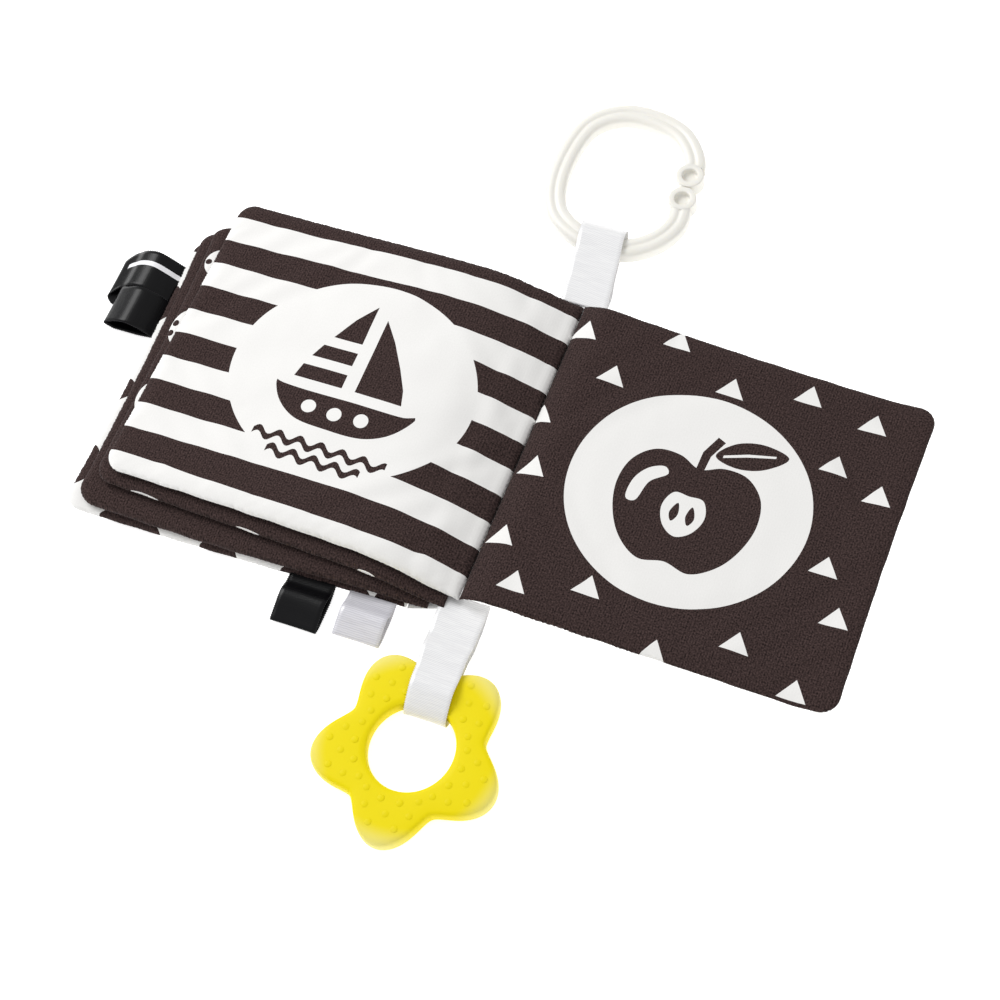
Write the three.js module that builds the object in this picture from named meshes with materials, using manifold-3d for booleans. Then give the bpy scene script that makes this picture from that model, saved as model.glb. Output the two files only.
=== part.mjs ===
// Soft cloth contrast book: four padded leaves turned to the left, the back cover open to the right,
// satin tags, a clip ring on a ribbon at the head of the spine and a star teether at its foot.
// Millimetres, +Z up. The origin is on the table, under the middle of the spine strip.
// +X points to the back cover, +Y up the spine to the clip ring.
import * as THREE from "three";
import { mergeVertices } from "three/addons/utils/BufferGeometryUtils.js";
import Module from "manifold-3d";

const wasm = await Module();
wasm.setup();

// Driving dimensions of the pages
const pageWidth = 155; // one padded leaf, spine seam to fore edge
const backPageWidth = 152; // the back cover, drawn in by the hump beside the gutter
const backRootZ = 9.8; // the back cover's seam, over the table
const humpRise = 3; // it humps beside the gutter, then slopes down
const humpLength = 11;
const backSlide = 3.1; // it has slid this far up the spine
const backDrift = 0.5;
const backLiftAtEdge = 1.2;
const backSwellLength = 14; // it swells faster from the spine than the heaped leaves
const pageHeight = 140; // half-way along a page
const pageTaper = 0.03; // share of it by which a page narrows from the spine to its fore edge
const cornerRadius = 8;
const padThickness = 5.6; // a leaf between its seams
const seamThickness = 2.4; // a leaf where it is stitched flat
const edgeRoundWidth = 9; // how far the padding takes to swell behind a seam
const spineRiseLength = 34; // how far the padding takes to swell from the spine
const spineRisePower = 2.4; // it swells at once, then levels off
const drawnIn = 1.3; // how far a side pulls in between its corners
const clothThickness = 0.8;
const seatGap = 0.3; // pieces that touch keep this apart
const leafGap = 0.45; // between leaves that lie on each other
const overrun = 1; // cuts run past the surface by this

// Spine strip and the gutter above it
const spineFlatWidth = 16; // what lies on the table
const spineRiseWidth = 6.5; // what climbs to the back cover
const spineThickness = 1.2;
const gutterX = 13; // the crease between the facing pages
const gutterClearance = 0.8; // each facing page stops this far from the crease

// Ribbons and tags
const ribbonWidth = 20;
const edgeTagWidth = 18.6; // pushed together in their seam
const footTagWidth = 20;
const ribbonThickness = 0.6;
const edgeTagReach = 22; // how far a loop stands out of its seam
const stripedTagReach = 27;
const edgeTagHeight = 9.6;
const stripedTagSlide = 7; // its lower layer slides this far under the plain tag
const blackTagReach = 22;
const greyTagReach = 20;
const footTagHeight = 4;
const plainTagShare = 0.1207; // the plain tag's middle, up the page from its half height
const blackTagShare = 0.259; // the foot tags' middles, along the foot edge from the spine
const greyTagShare = 0.084;
const strapSlack = 2.6; // a strap stands this far off the bar it holds
const foldSlack = 1.2; // and this much more at its fold, where it crosses the bar askew
const clipRibbonLean = 8.1; // degrees, each strap leans away from square to its seam
const teetherRibbonLean = 3.7;
const teetherRibbonOffset = 0.7; // it lies a little to the left in the teether's hole

// Clip ring, a moulded C link
const ringLength = 77;
const ringWidth = 67;
const ringBarWidth = 8.4;
const ringBarDepth = 7.6;
const ringGrooveDepth = 0.8;
const ringGrooveWidth = 2.6;
const bossRadius = 5.7;
const bossHoleRadius = 3.4;
const bossHoleDepth = 3;
const bossGap = 0.6; // the two bosses spring apart here to let a strap in
const ringCentre = [9.5, 142.5]; // where the ring lies at the head of the spine

// Star teether
const teetherLobes = 5;
const teetherTipRadius = 39.8;
const teetherValleyRadius = 29;
const teetherHoleRadius = 17.4;
const teetherThickness = 7;
const teetherEdgeRadius = 2.2;
const teetherCentre = [18.2, -131.2]; // where it lies at the foot of the spine
const teetherTurn = -15.2; // degrees from +X to the first lobe
const bumpRadius = 1.5;
const bumpHeight = 0.6;

// Finishes as photographed
const finish = (name, color, roughness, metalness = 0) =>
  new THREE.MeshStandardMaterial({ name, color, roughness, metalness });
const darkCloth = finish("dark knit", 0x3c3232, 0.92);
const whiteCloth = finish("white knit", 0xf4f3f1, 0.9);
const coverCloth = finish("printed cover knit", 0xe9e7e4, 0.9);
const waddingFill = finish("polyester wadding", 0xf6f6f4, 1);
const crinkleFilm = finish("crinkle film", 0xdfe3e6, 0.35);
const blackSatin = finish("black satin", 0x17161a, 0.35);
const greySatin = finish("grey satin", 0xb9b8c0, 0.35);
const whiteSatin = finish("white satin", 0xf3f3f5, 0.35);
const whitePlastic = finish("white moulded plastic", 0xf4f3ee, 0.35);
const yellowRubber = finish("yellow silicone", 0xefe021, 0.5);

const book = new THREE.Group();

function addPiece(name, geometry, material, parent = book) {
  const mesh = new THREE.Mesh(geometry, material);
  mesh.name = name;
  parent.add(mesh);
  return mesh;
}

// A closed surface from a list of corners and faces
function geometryOf(points, faces) {
  const geometry = new THREE.BufferGeometry();
  geometry.setAttribute("position", new THREE.Float32BufferAttribute(points.flat(), 3));
  geometry.setIndex(faces.flat());
  return geometry;
}

function toSolid(geometry) {
  const bare = geometry.clone();
  bare.deleteAttribute("normal");
  bare.deleteAttribute("uv");
  const merged = mergeVertices(bare);
  const mesh = new wasm.Mesh({
    numProp: 3,
    vertProperties: new Float32Array(merged.attributes.position.array),
    triVerts: new Uint32Array(merged.index.array),
  });
  return new wasm.Manifold(mesh);
}

function fromSolid(solid) {
  const mesh = solid.getMesh();
  const geometry = new THREE.BufferGeometry();
  geometry.setAttribute("position", new THREE.BufferAttribute(new Float32Array(mesh.vertProperties), 3));
  geometry.setIndex(new THREE.BufferAttribute(new Uint32Array(mesh.triVerts), 1));
  return geometry;
}

const clamp = THREE.MathUtils.clamp;
const ease = (t) => THREE.MathUtils.smoothstep(t, 0, 1);

// A slab between two heights over one grid of places: upper and lower give z at a grid place
function slabOf(columns, rows, place, upper, lower) {
  const points = [];
  const faces = [];
  const across = rows + 1;
  const count = (columns + 1) * across;
  for (const height of [upper, lower]) {
    for (let i = 0; i <= columns; i += 1) {
      for (let j = 0; j <= rows; j += 1) {
        const [x, y] = place(i, j);
        points.push([x, y, height(i, j)]);
      }
    }
  }
  const at = (i, j) => i * across + j;
  for (let i = 0; i < columns; i += 1) {
    for (let j = 0; j < rows; j += 1) {
      const [a, b, c, d] = [at(i, j), at(i + 1, j), at(i + 1, j + 1), at(i, j + 1)];
      faces.push([a, b, c], [a, c, d]);
      faces.push([count + a, count + c, count + b], [count + a, count + d, count + c]);
    }
  }
  const rim = [];
  for (let i = 0; i < columns; i += 1) rim.push(at(i, 0));
  for (let j = 0; j < rows; j += 1) rim.push(at(columns, j));
  for (let i = columns; i > 0; i -= 1) rim.push(at(i, rows));
  for (let j = rows; j > 0; j -= 1) rim.push(at(0, j));
  rim.forEach((a, k) => {
    const b = rim[(k + 1) % rim.length];
    faces.push([a, count + a, count + b], [a, count + b, b]);
  });
  return geometryOf(points, faces);
}

// A padded leaf
// The grid is closer where the padding swells, from the spine and behind the seams.
const riseShares = [0, 0.12, 0.29, 0.5, 0.77, 1.1];
const roundShares = [2, 0.84, 0.25, 0];
const flatShares = [1 / 3, 2 / 3];

// Distances from the spine to the fore edge of a leaf
function alongStations(width) {
  const rise = riseShares.map((share) => share * spineRiseLength);
  const round = roundShares.map((share) => width - share * edgeRoundWidth);
  const flat = flatShares.map((share) => THREE.MathUtils.lerp(rise.at(-1), round[0], share));
  return [...rise, ...flat, ...round];
}

// Distances from the middle of a leaf to its sides, as shares of half its height
function acrossShares() {
  const side = roundShares.map((share) => 1 - (share * edgeRoundWidth) / (pageHeight / 2));
  const foot = side.map((share) => -share).reverse();
  return [...foot, 0, ...side];
}

// How far the padding has swollen at a distance behind a seam, 0 to 1
function swellBehind(distance) {
  const left = clamp(1 - distance / edgeRoundWidth, 0, 1);
  return Math.sqrt(1 - left * left);
}

const swellFromSpine = (distance) =>
  1 - Math.pow(1 - clamp(distance / spineRiseLength, 0, 1), spineRisePower);

// The left leaves, from the table up: where each is stitched across the spine strip, and how far
// its root and its fore edge have slid along the spine in the photographed heap.
const stackLeafShares = [
  { name: "front_cover", seamShare: 0, rootSlideShare: -0.0257, edgeSlideShare: -0.0343, reach: 1 },
  { name: "leaf_1", seamShare: 0.4455, rootSlideShare: -0.0171, edgeSlideShare: -0.0286, reach: 1.02 },
  { name: "leaf_2", seamShare: 0.7921, rootSlideShare: -0.0071, edgeSlideShare: 0.0243, reach: 1.02 },
  { name: "leaf_3", seamShare: 1, rootSlideShare: 0.0214, edgeSlideShare: 0.0114, reach: 1.02 },
];
const stackLeaves = stackLeafShares.map(({ name, seamShare, rootSlideShare, edgeSlideShare, reach }) => ({
  name,
  width: reach * pageWidth,
  rootX: THREE.MathUtils.lerp(-spineFlatWidth / 2, gutterX - gutterClearance, seamShare),
  rootY: rootSlideShare * pageHeight,
  drift: edgeSlideShare * pageHeight,
}));

const thicknessAt = (leaf, x) =>
  seamThickness + (padThickness - seamThickness) * swellFromSpine(leaf.rootX - x);

// The height of the middle of a leaf in the heap, over a place x
function stackMiddle(index, x) {
  let base = 0;
  for (let k = 0; k < index; k += 1) base += thicknessAt(stackLeaves[k], x) + leafGap;
  return base + thicknessAt(stackLeaves[index], x) / 2;
}

// Half the height of a page, at a share of the way from the spine to its fore edge
const halfHeightAt = (share) => (pageHeight / 2) * (1 + pageTaper * (1 / 2 - share));

// A page outline with round outer corners and drawn-in sides: s runs from the spine, t across
function pagePlace(width, s, t) {
  const half = halfHeightAt(s / width);
  const bow = drawnIn * (1 - Math.pow((2 * s) / width - 1, 2));
  let across = t * (half - bow);
  let along = s - drawnIn * (s / width) * (1 - t * t);
  const overAlong = along - (width - cornerRadius);
  const overAcross = Math.abs(across) - (half - cornerRadius);
  if (overAlong > 0 && overAcross > 0) {
    const pull = Math.max(overAlong, overAcross) / Math.hypot(overAlong, overAcross);
    along = width - cornerRadius + overAlong * pull;
    across = Math.sign(across) * (half - cornerRadius + overAcross * pull);
  }
  return [along, across];
}

// Makes the two cloth panels, the wadding and any film of one leaf.
// placeOf turns (along, across) into x and y; middleOf and fullOf give the middle's height and the
// padded thickness there.
function addLeaf(leaf) {
  const { name, width, placeOf, middleOf, fullOf, film } = leaf;
  const stations = alongStations(width);
  const lanes = acrossShares();
  const columns = stations.length - 1;
  const rows = lanes.length - 1;
  const group = new THREE.Group();
  book.add(group);
  const spot = (i, j) => pagePlace(width, stations[i], lanes[j]);
  const place = (i, j) => placeOf(...spot(i, j));
  const half = (i, j) => {
    const edge = Math.min(width - stations[i], (1 - Math.abs(lanes[j])) * (pageHeight / 2));
    const full = fullOf(...spot(i, j));
    return (seamThickness + (full - seamThickness) * swellBehind(edge)) / 2;
  };
  const middle = (i, j) => middleOf(...spot(i, j));
  const skin = (i, j) => Math.max(half(i, j) - clothThickness, seatGap / 2);
  addPiece(
    `${name}_${leaf.upperName}`,
    slabOf(columns, rows, place, (i, j) => middle(i, j) + half(i, j), (i, j) => middle(i, j) + skin(i, j)),
    leaf.upperCloth,
    group,
  );
  addPiece(
    `${name}_${leaf.lowerName}`,
    slabOf(columns, rows, place, (i, j) => middle(i, j) - skin(i, j), (i, j) => middle(i, j) - half(i, j)),
    leaf.lowerCloth,
    group,
  );
  // The wadding stops one grid step inside every seam.
  const inner = (call) => (i, j) => call(i + 1, j + 1);
  const filmRoom = film ? seatGap + clothThickness / 2 : 0;
  const fill = (i, j) => Math.max(skin(i, j) - seatGap, seatGap / 2);
  const fillTop = (i, j) => middle(i, j) + Math.max(fill(i, j) - filmRoom, seatGap / 2);
  addPiece(
    `${name}_wadding`,
    slabOf(columns - 2, rows - 2, inner(place), inner(fillTop), inner((i, j) => middle(i, j) - fill(i, j))),
    waddingFill,
    group,
  );
  if (!film) return;
  // The film lies on the wadding, where the padding is full.
  const first = stations.findIndex((station) => station > spineRiseLength);
  const last = stations.findLastIndex((station) => width - station > edgeRoundWidth);
  const low = lanes.findIndex((share) => ((1 + share) * pageHeight) / 2 > edgeRoundWidth);
  const shift = (call) => (i, j) => call(i + first, j + low);
  const filmUnder = (i, j) => fillTop(i, j) + seatGap;
  const filmOver = (i, j) => middle(i, j) + fill(i, j);
  addPiece(
    `${name}_crinkle_film`,
    slabOf(last - first, rows - 2 * low, shift(place), shift(filmOver), shift(filmUnder)),
    crinkleFilm,
    group,
  );
}

stackLeaves.forEach((leaf, index) => {
  const isCover = index === 0;
  addLeaf({
    name: leaf.name,
    width: leaf.width,
    placeOf: (along, across) => [leaf.rootX - along, leaf.rootY + leaf.drift * (along / leaf.width) - across],
    middleOf: (along) => stackMiddle(index, leaf.rootX - along),
    fullOf: (along) => thicknessAt(leaf, leaf.rootX - along),
    upperCloth: index === stackLeaves.length - 1 ? whiteCloth : isCover ? coverCloth : darkCloth,
    lowerCloth: isCover ? coverCloth : darkCloth,
    upperName: isCover ? "inner_panel" : "upper_panel",
    lowerName: isCover ? "outer_panel" : "lower_panel",
    film: isCover,
  });
});

// The back cover: it humps beside the gutter, slopes down and rests on the table near its fore edge
const backRootX = gutterX + gutterClearance;
const backRestShare = 0.86; // where its underside touches the table
const backSagShare = 0.12; // how far it bellies below a straight slope
function backMiddle(along) {
  const rest = backRestShare * backPageWidth;
  const top = backRootZ + humpRise;
  const floor = padThickness / 2;
  if (along < humpLength) return backRootZ + humpRise * Math.sin((along / humpLength) * (Math.PI / 2));
  if (along < rest) {
    const t = (along - humpLength) / (rest - humpLength);
    return THREE.MathUtils.lerp(top, floor, t + (t - t * t) * backSagShare);
  }
  return floor + backLiftAtEdge * Math.pow((along - rest) / (backPageWidth - rest), 2);
}
const backFull = (along) =>
  seamThickness + (padThickness - seamThickness) * ease(clamp(along / backSwellLength, 0, 1));

addLeaf({
  name: "back_cover",
  width: backPageWidth,
  placeOf: (along, across) => [backRootX + along, backSlide + backDrift * (along / backPageWidth) + across],
  middleOf: backMiddle,
  fullOf: backFull,
  upperCloth: darkCloth,
  lowerCloth: coverCloth,
  upperName: "inner_panel",
  lowerName: "outer_panel",
  film: true,
});

// The spine strip: it lies flat under the heap, then climbs to the back cover's seam
const stripFootX = -spineFlatWidth / 2 + seatGap;
const stripBendX = spineFlatWidth / 2 - spineThickness;
const stripTopX = stripBendX + spineRiseWidth;
const stripTopZ = backRootZ - seamThickness / 2 - seatGap;
const stripStations = [0, 0.5, 1, 1.12, 1.3, 1.5, 1.75, 2]; // 1 is the bend, 2 the top
const stripCurl = 1.25; // the power that its climb follows
function stripPoint(station) {
  if (station <= 1) return [THREE.MathUtils.lerp(stripFootX, stripBendX, station), 0];
  const t = station - 1;
  return [stripBendX + spineRiseWidth * t, (stripTopZ - spineThickness) * Math.pow(t, stripCurl)];
}

function addSpineStrip() {
  const rows = 4;
  const cover = stackLeaves[0];
  const place = (i, j) => {
    const [x] = stripPoint(stripStations[i]);
    const lean = THREE.MathUtils.lerp(cover.rootY, backSlide, (x - stripFootX) / (stripTopX - stripFootX));
    return [x, lean + (2 * (j / rows) - 1) * halfHeightAt(0)];
  };
  const under = (i) => stripPoint(stripStations[i])[1];
  addPiece(
    "spine_strip",
    slabOf(stripStations.length - 1, rows, place, (i) => under(i) + spineThickness, under),
    coverCloth,
  );
}
addSpineStrip();

// Satin ribbons
// A band of cloth folded back on itself and sewn at its tail. The centre points run outward along
// the upper layer, round the fold and back along the lower one, never under the table at tableAt.
// slideAt tells how far the band has slid sideways at an outward distance and a share of its length.
function loopBand(points, steps, width, tableAt, slideAt = () => 0) {
  const knots = points.map(([a, b]) => new THREE.Vector3(a, b, 0));
  const curve = new THREE.CatmullRomCurve3(knots, false, "centripetal");
  const places = curve.getSpacedPoints(steps);
  for (const place of places) place.y = Math.max(place.y, tableAt + ribbonThickness / 2);
  const corners = [];
  places.forEach((place, k) => {
    const before = places[Math.max(k - 1, 0)];
    const after = places[Math.min(k + 1, steps)];
    const along = after.clone().sub(before).normalize();
    const side = [(-along.y * ribbonThickness) / 2, (along.x * ribbonThickness) / 2];
    const sewn = k === 0 || k === steps ? ribbonThickness : 0; // the tail closes the band
    const outer = [place.x + side[0], Math.max(place.y + side[1], tableAt)];
    const inner = [place.x - side[0] + sewn, place.y - side[1]];
    const slide = slideAt(place.x, k / steps);
    for (const [a, b] of [outer, inner]) corners.push([a, b, slide - width / 2], [a, b, slide + width / 2]);
  });
  const faces = [];
  for (let k = 0; k <= steps; k += 1) {
    const [o, i] = [4 * k, 4 * k + 2];
    const [p, j] = [(4 * (k + 1)) % corners.length, (4 * (k + 1) + 2) % corners.length];
    faces.push([o, o + 1, p + 1], [o, p + 1, p], [i, j, j + 1], [i, j + 1, i + 1]);
    faces.push([o + 1, i + 1, j + 1], [o + 1, j + 1, p + 1], [o, p, j], [o, j, i]);
  }
  return geometryOf(corners, faces);
}

// Turns a loop seen in (outward, up) so that it stands out of a seam in the direction given
function placeLoop(name, band, material, outward, [x, y, z]) {
  const mesh = addPiece(name, band, material);
  const out = new THREE.Vector3(outward[0], outward[1], 0);
  const up = new THREE.Vector3(0, 0, 1);
  const turn = new THREE.Matrix4().makeBasis(out, up, new THREE.Vector3().crossVectors(out, up));
  mesh.applyMatrix4(turn);
  mesh.position.set(x, y, z);
  return mesh;
}

// A strap that runs from a seam to a bar, goes round it and comes back.
// tail and bar are (outward, up) places; room is the free space from the bar's middle, inside the bend.
function strapPoints(tail, bar, room) {
  const lay = ribbonThickness / 2;
  const high = bar[1] + room.up + lay;
  const low = bar[1] - room.up - lay;
  const near = bar[0] - room.near;
  const bend = bar[0] + room.far / 2;
  const split = ribbonThickness / 2 + seatGap;
  const halfWay = THREE.MathUtils.lerp(tail[0], near, 1 / 2);
  return [
    [tail[0], tail[1] + split],
    [halfWay, THREE.MathUtils.lerp(tail[1] + split, high, 2 / 3)],
    [near, high],
    [bend, high],
    [bar[0] + room.far + lay, bar[1]],
    [bend, low],
    [near, low],
    [halfWay, THREE.MathUtils.lerp(tail[1] - split, low, 2 / 3)],
    [tail[0], tail[1] - split],
  ];
}

const strapSteps = 40;
const headSeamY = backSlide + halfHeightAt(0);
const footSeamY = stackLeaves[2].rootY - halfHeightAt(0);

// Clip ring
// The ring's centre line in shares of its half width and half length: the limb away from the gap is
// straight, the bar that the ribbon holds is level, and the two ends meet at the bosses.
const ringLineShares = [
  [0.79, 0.36], [0.77, 0.56], [0.4, 0.88], [-0.1, 1], [-0.52, 0.95], [-0.87, 0.72], [-1, 0.36],
  [-1, -0.3], [-0.8, -0.72], [-0.42, -0.95], [-0.05, -1], [0.32, -0.99], [0.69, -0.79], [0.91, -0.42],
  [0.83, 0.02],
];
const ringHalfWidth = (ringWidth - ringBarWidth) / 2;
const ringHalfLength = (ringLength - ringBarWidth) / 2;
const ringBedZ = ribbonThickness + seatGap;
const ringMiddleZ = ringBedZ + ringBarDepth / 2;
const ringPoint = ([x, y]) => new THREE.Vector3(x * ringHalfWidth, y * ringHalfLength, 0);

// The bar's section: a rounded bar with a shallow groove along each face
function ringSection() {
  const section = new THREE.Shape();
  const [w, d, g, r] = [ringBarWidth / 2, ringBarDepth / 2, ringGrooveWidth / 2, ringBarWidth / 4];
  section.moveTo(d - ringGrooveDepth, 0);
  section.lineTo(d, g);
  section.quadraticCurveTo(d, w, d - r, w);
  section.lineTo(r - d, w);
  section.quadraticCurveTo(-d, w, -d, g);
  section.lineTo(ringGrooveDepth - d, 0);
  section.lineTo(-d, -g);
  section.quadraticCurveTo(-d, -w, r - d, -w);
  section.lineTo(d - r, -w);
  section.quadraticCurveTo(d, -w, d, -g);
  return section;
}

function addClipRing() {
  const line = new THREE.CatmullRomCurve3(ringLineShares.map(ringPoint), false, "centripetal");
  const bar = new THREE.ExtrudeGeometry(ringSection(), {
    steps: 44,
    curveSegments: 2,
    extrudePath: line,
  });
  let ring = toSolid(bar);
  const boss = (share) => {
    const place = ringPoint(share);
    const body = new THREE.CylinderGeometry(bossRadius, bossRadius, ringBarDepth, 24);
    const well = new THREE.CylinderGeometry(bossHoleRadius, bossHoleRadius, bossHoleDepth + overrun, 16);
    const outer = toSolid(body.rotateX(Math.PI / 2).translate(place.x, place.y, 0));
    const depth = ringBarDepth / 2 - bossHoleDepth / 2 + overrun / 2;
    const wells = [1, -1].map((side) =>
      toSolid(well.clone().rotateX(Math.PI / 2).translate(place.x, place.y, side * depth)),
    );
    return { outer, wells };
  };
  const upper = boss(ringLineShares[0]);
  const lower = boss(ringLineShares[ringLineShares.length - 1]);
  for (const end of [upper, lower]) ring = ring.add(end.outer);
  for (const end of [upper, lower]) for (const well of end.wells) ring = ring.subtract(well);
  // The gap between the bosses, square to the line that joins them
  const [a, b] = [ringLineShares[0], ringLineShares[ringLineShares.length - 1]].map(ringPoint);
  const slit = new THREE.BoxGeometry(bossRadius * 2 + overrun, bossGap, ringBarDepth + overrun);
  slit.rotateZ(Math.atan2(b.x - a.x, a.y - b.y));
  slit.translate((a.x + b.x) / 2, (a.y + b.y) / 2, 0);
  ring = ring.subtract(toSolid(slit));
  const mesh = addPiece("clip_ring", fromSolid(ring), whitePlastic);
  mesh.position.set(ringCentre[0], ringCentre[1], ringMiddleZ);
}
addClipRing();

function addClipRibbon() {
  const tailY = headSeamY + seatGap;
  const tailZ = backRootZ - seamThickness / 4;
  const barY = ringCentre[1] - ringHalfLength;
  const slack = ringBarWidth / 2 + strapSlack; // the bar runs a little askew through the loop
  const room = { far: slack + foldSlack, near: slack, up: ringBarDepth / 2 + 2 * seatGap };
  const points = strapPoints([0, tailZ], [barY - tailY, ringMiddleZ], room);
  const slideAt = (outward) => -outward * Math.tan(THREE.MathUtils.degToRad(clipRibbonLean));
  const band = loopBand(points, strapSteps, ribbonWidth, 0, slideAt);
  placeLoop("clip_ribbon", band, whiteSatin, [0, 1], [gutterX, tailY, 0]);
}
addClipRibbon();

// Star teether
const teetherBedZ = ribbonThickness + seatGap + bumpHeight;
const teetherMiddleZ = teetherBedZ + teetherThickness / 2;

const lobeFullness = 0.85; // below 1 the lobes are broader than the valleys

// Lobes and valleys are arcs of a smooth wave between the two radii
function starPoint(angle) {
  const wave = (1 + Math.cos(teetherLobes * angle)) / 2;
  const lobe = Math.pow(wave, lobeFullness);
  const radius = THREE.MathUtils.lerp(teetherValleyRadius, teetherTipRadius, lobe);
  return new THREE.Vector2(radius * Math.cos(angle), radius * Math.sin(angle));
}

function addTeether() {
  const steps = teetherLobes * 12;
  const outline = [];
  for (let k = 0; k < steps; k += 1) outline.push(starPoint((k / steps) * 2 * Math.PI));
  const inset = teetherEdgeRadius;
  const hole = new THREE.Path();
  hole.absarc(0, 0, teetherHoleRadius + inset, 0, 2 * Math.PI, true);
  const shrink = (point) => point.clone().setLength(point.length() - inset);
  const shape = new THREE.Shape(outline.map(shrink));
  shape.holes.push(hole);
  const body = new THREE.ExtrudeGeometry(shape, {
    depth: teetherThickness - 2 * inset,
    bevelSize: inset,
    bevelThickness: inset,
    bevelSegments: 2,
    curveSegments: 12,
    steps: 1,
  });
  body.translate(0, 0, inset - teetherThickness / 2);
  let star = toSolid(body);
  // Raised gum bumps, in three rows on each lobe, on both faces
  const bump = new THREE.SphereGeometry(bumpRadius, 6, 4);
  bump.scale(1, 1, bumpHeight / bumpRadius);
  const rows = [
    { radiusShare: 0.56, turns: [-9, 9] },
    { radiusShare: 0.7, turns: [-13, 0, 13] },
    { radiusShare: 0.83, turns: [-7, 7] },
  ];
  const bumps = [];
  for (let lobe = 0; lobe < teetherLobes; lobe += 1) {
    for (const row of rows) {
      for (const turn of row.turns) {
        const angle = (lobe / teetherLobes) * 2 * Math.PI + THREE.MathUtils.degToRad(turn);
        const radius = row.radiusShare * teetherTipRadius;
        for (const side of [1, -1]) {
          const dome = bump.clone();
          dome.translate(radius * Math.cos(angle), radius * Math.sin(angle), (side * teetherThickness) / 2);
          bumps.push(toSolid(dome));
        }
      }
    }
  }
  for (const dome of bumps) star = star.add(dome);
  const mesh = addPiece("teether", fromSolid(star), yellowRubber);
  mesh.rotation.z = THREE.MathUtils.degToRad(teetherTurn);
  mesh.position.set(teetherCentre[0], teetherCentre[1], teetherMiddleZ);
}
addTeether();

function addTeetherRibbon() {
  const tailY = footSeamY - seatGap;
  const tailZ = backRootZ - 2 * seamThickness;
  const barWidth = teetherValleyRadius - teetherHoleRadius;
  const barY = teetherCentre[1] + teetherHoleRadius + barWidth / 2;
  // The hole curves in and the lobes stand out beside the valley, so the strap clears both.
  const halfSpan = ribbonWidth / 2 + teetherRibbonOffset;
  const holeCurve = teetherHoleRadius - Math.sqrt(teetherHoleRadius ** 2 - halfSpan ** 2);
  const spanAngle = Math.asin(halfSpan / teetherValleyRadius);
  const lobeReach = starPoint(Math.PI / teetherLobes - spanAngle).length() - teetherValleyRadius;
  const room = {
    far: barWidth / 2 + holeCurve + strapSlack / 2 + 2 * seatGap,
    near: barWidth / 2 + lobeReach,
    up: teetherThickness / 2 + 2 * seatGap + bumpHeight,
  };
  const points = strapPoints([0, tailZ], [tailY - barY, teetherMiddleZ], room);
  const lean = Math.tan(THREE.MathUtils.degToRad(teetherRibbonLean));
  const band = loopBand(points, strapSteps, ribbonWidth, 0, (outward) => (tailY - barY - outward) * lean);
  const place = [teetherCentre[0] - teetherRibbonOffset, tailY, 0];
  placeLoop("teether_ribbon", band, whiteSatin, [0, -1], place);
}
addTeetherRibbon();

// Tags sewn into the front cover's seams
const frontCover = stackLeaves[0];

const tagSteps = 28;
const tagCrestShares = [0.3, 0.72]; // where along its reach the upper layer turns
const tagSoleShares = [0.8, 0.35]; // and the lower one
const tagClimbShare = 0.75;

const slideShares = [0.42, 0.58, 0.68, 0.86]; // along a loop, where its slide starts, is full and ends

// floor is the height of what the loop lies on
function tagBand({ reach, height, width, slide, floor }, seamZ) {
  const low = floor + ribbonThickness / 2 - seamZ;
  const high = height - ribbonThickness / 2 - seamZ;
  const split = ribbonThickness / 2 + seatGap / 2;
  const points = [
    [0, split],
    [reach * tagCrestShares[0], high * tagClimbShare],
    [reach * tagCrestShares[1], high],
    [reach - ribbonThickness / 2, (high + low) / 2],
    [reach * tagSoleShares[0], low],
    [reach * tagSoleShares[1], low],
    [0, -split],
  ];
  const [start, full, hold, end] = slideShares;
  const rise = (share, from, to) => ease(clamp((share - from) / (to - from), 0, 1));
  const slideAt = (outward, share) => slide * (rise(share, hold, end) - rise(share, start, full));
  return loopBand(points, tagSteps, width, floor - seamZ, slideAt);
}

// The fore edge of the front cover, where a tag at y leaves it
function foreEdgeAt(y) {
  const across = (frontCover.rootY + frontCover.drift - y) / halfHeightAt(1);
  return frontCover.rootX - frontCover.width + drawnIn * (1 - across * across);
}
const footEdgeAt = (x) => {
  const along = (frontCover.rootX - x) / frontCover.width;
  const bow = drawnIn * (1 - Math.pow(2 * along - 1, 2));
  return frontCover.rootY + frontCover.drift * along - halfHeightAt(along) + bow;
};

const edgeTagY = plainTagShare * pageHeight;
const edgeTag = { height: edgeTagHeight, width: edgeTagWidth, floor: 0, slide: 0 };
const edgeTagPlaces = [
  { ...edgeTag, name: "plain_edge_tag", y: edgeTagY, reach: edgeTagReach, floor: ribbonThickness + seatGap },
  {
    ...edgeTag,
    name: "striped_edge_tag",
    y: edgeTagY + edgeTagWidth + seatGap,
    reach: stripedTagReach,
    slide: stripedTagSlide,
  },
];
for (const tag of edgeTagPlaces) {
  const sides = [tag.y - tag.width / 2, tag.y + tag.width / 2].map(foreEdgeAt);
  const seamZ = stackMiddle(0, frontCover.rootX - frontCover.width);
  const place = [Math.min(...sides) - 2 * seatGap, tag.y, seamZ];
  placeLoop(tag.name, tagBand(tag, seamZ), blackSatin, [-1, 0], place);
}

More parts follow.
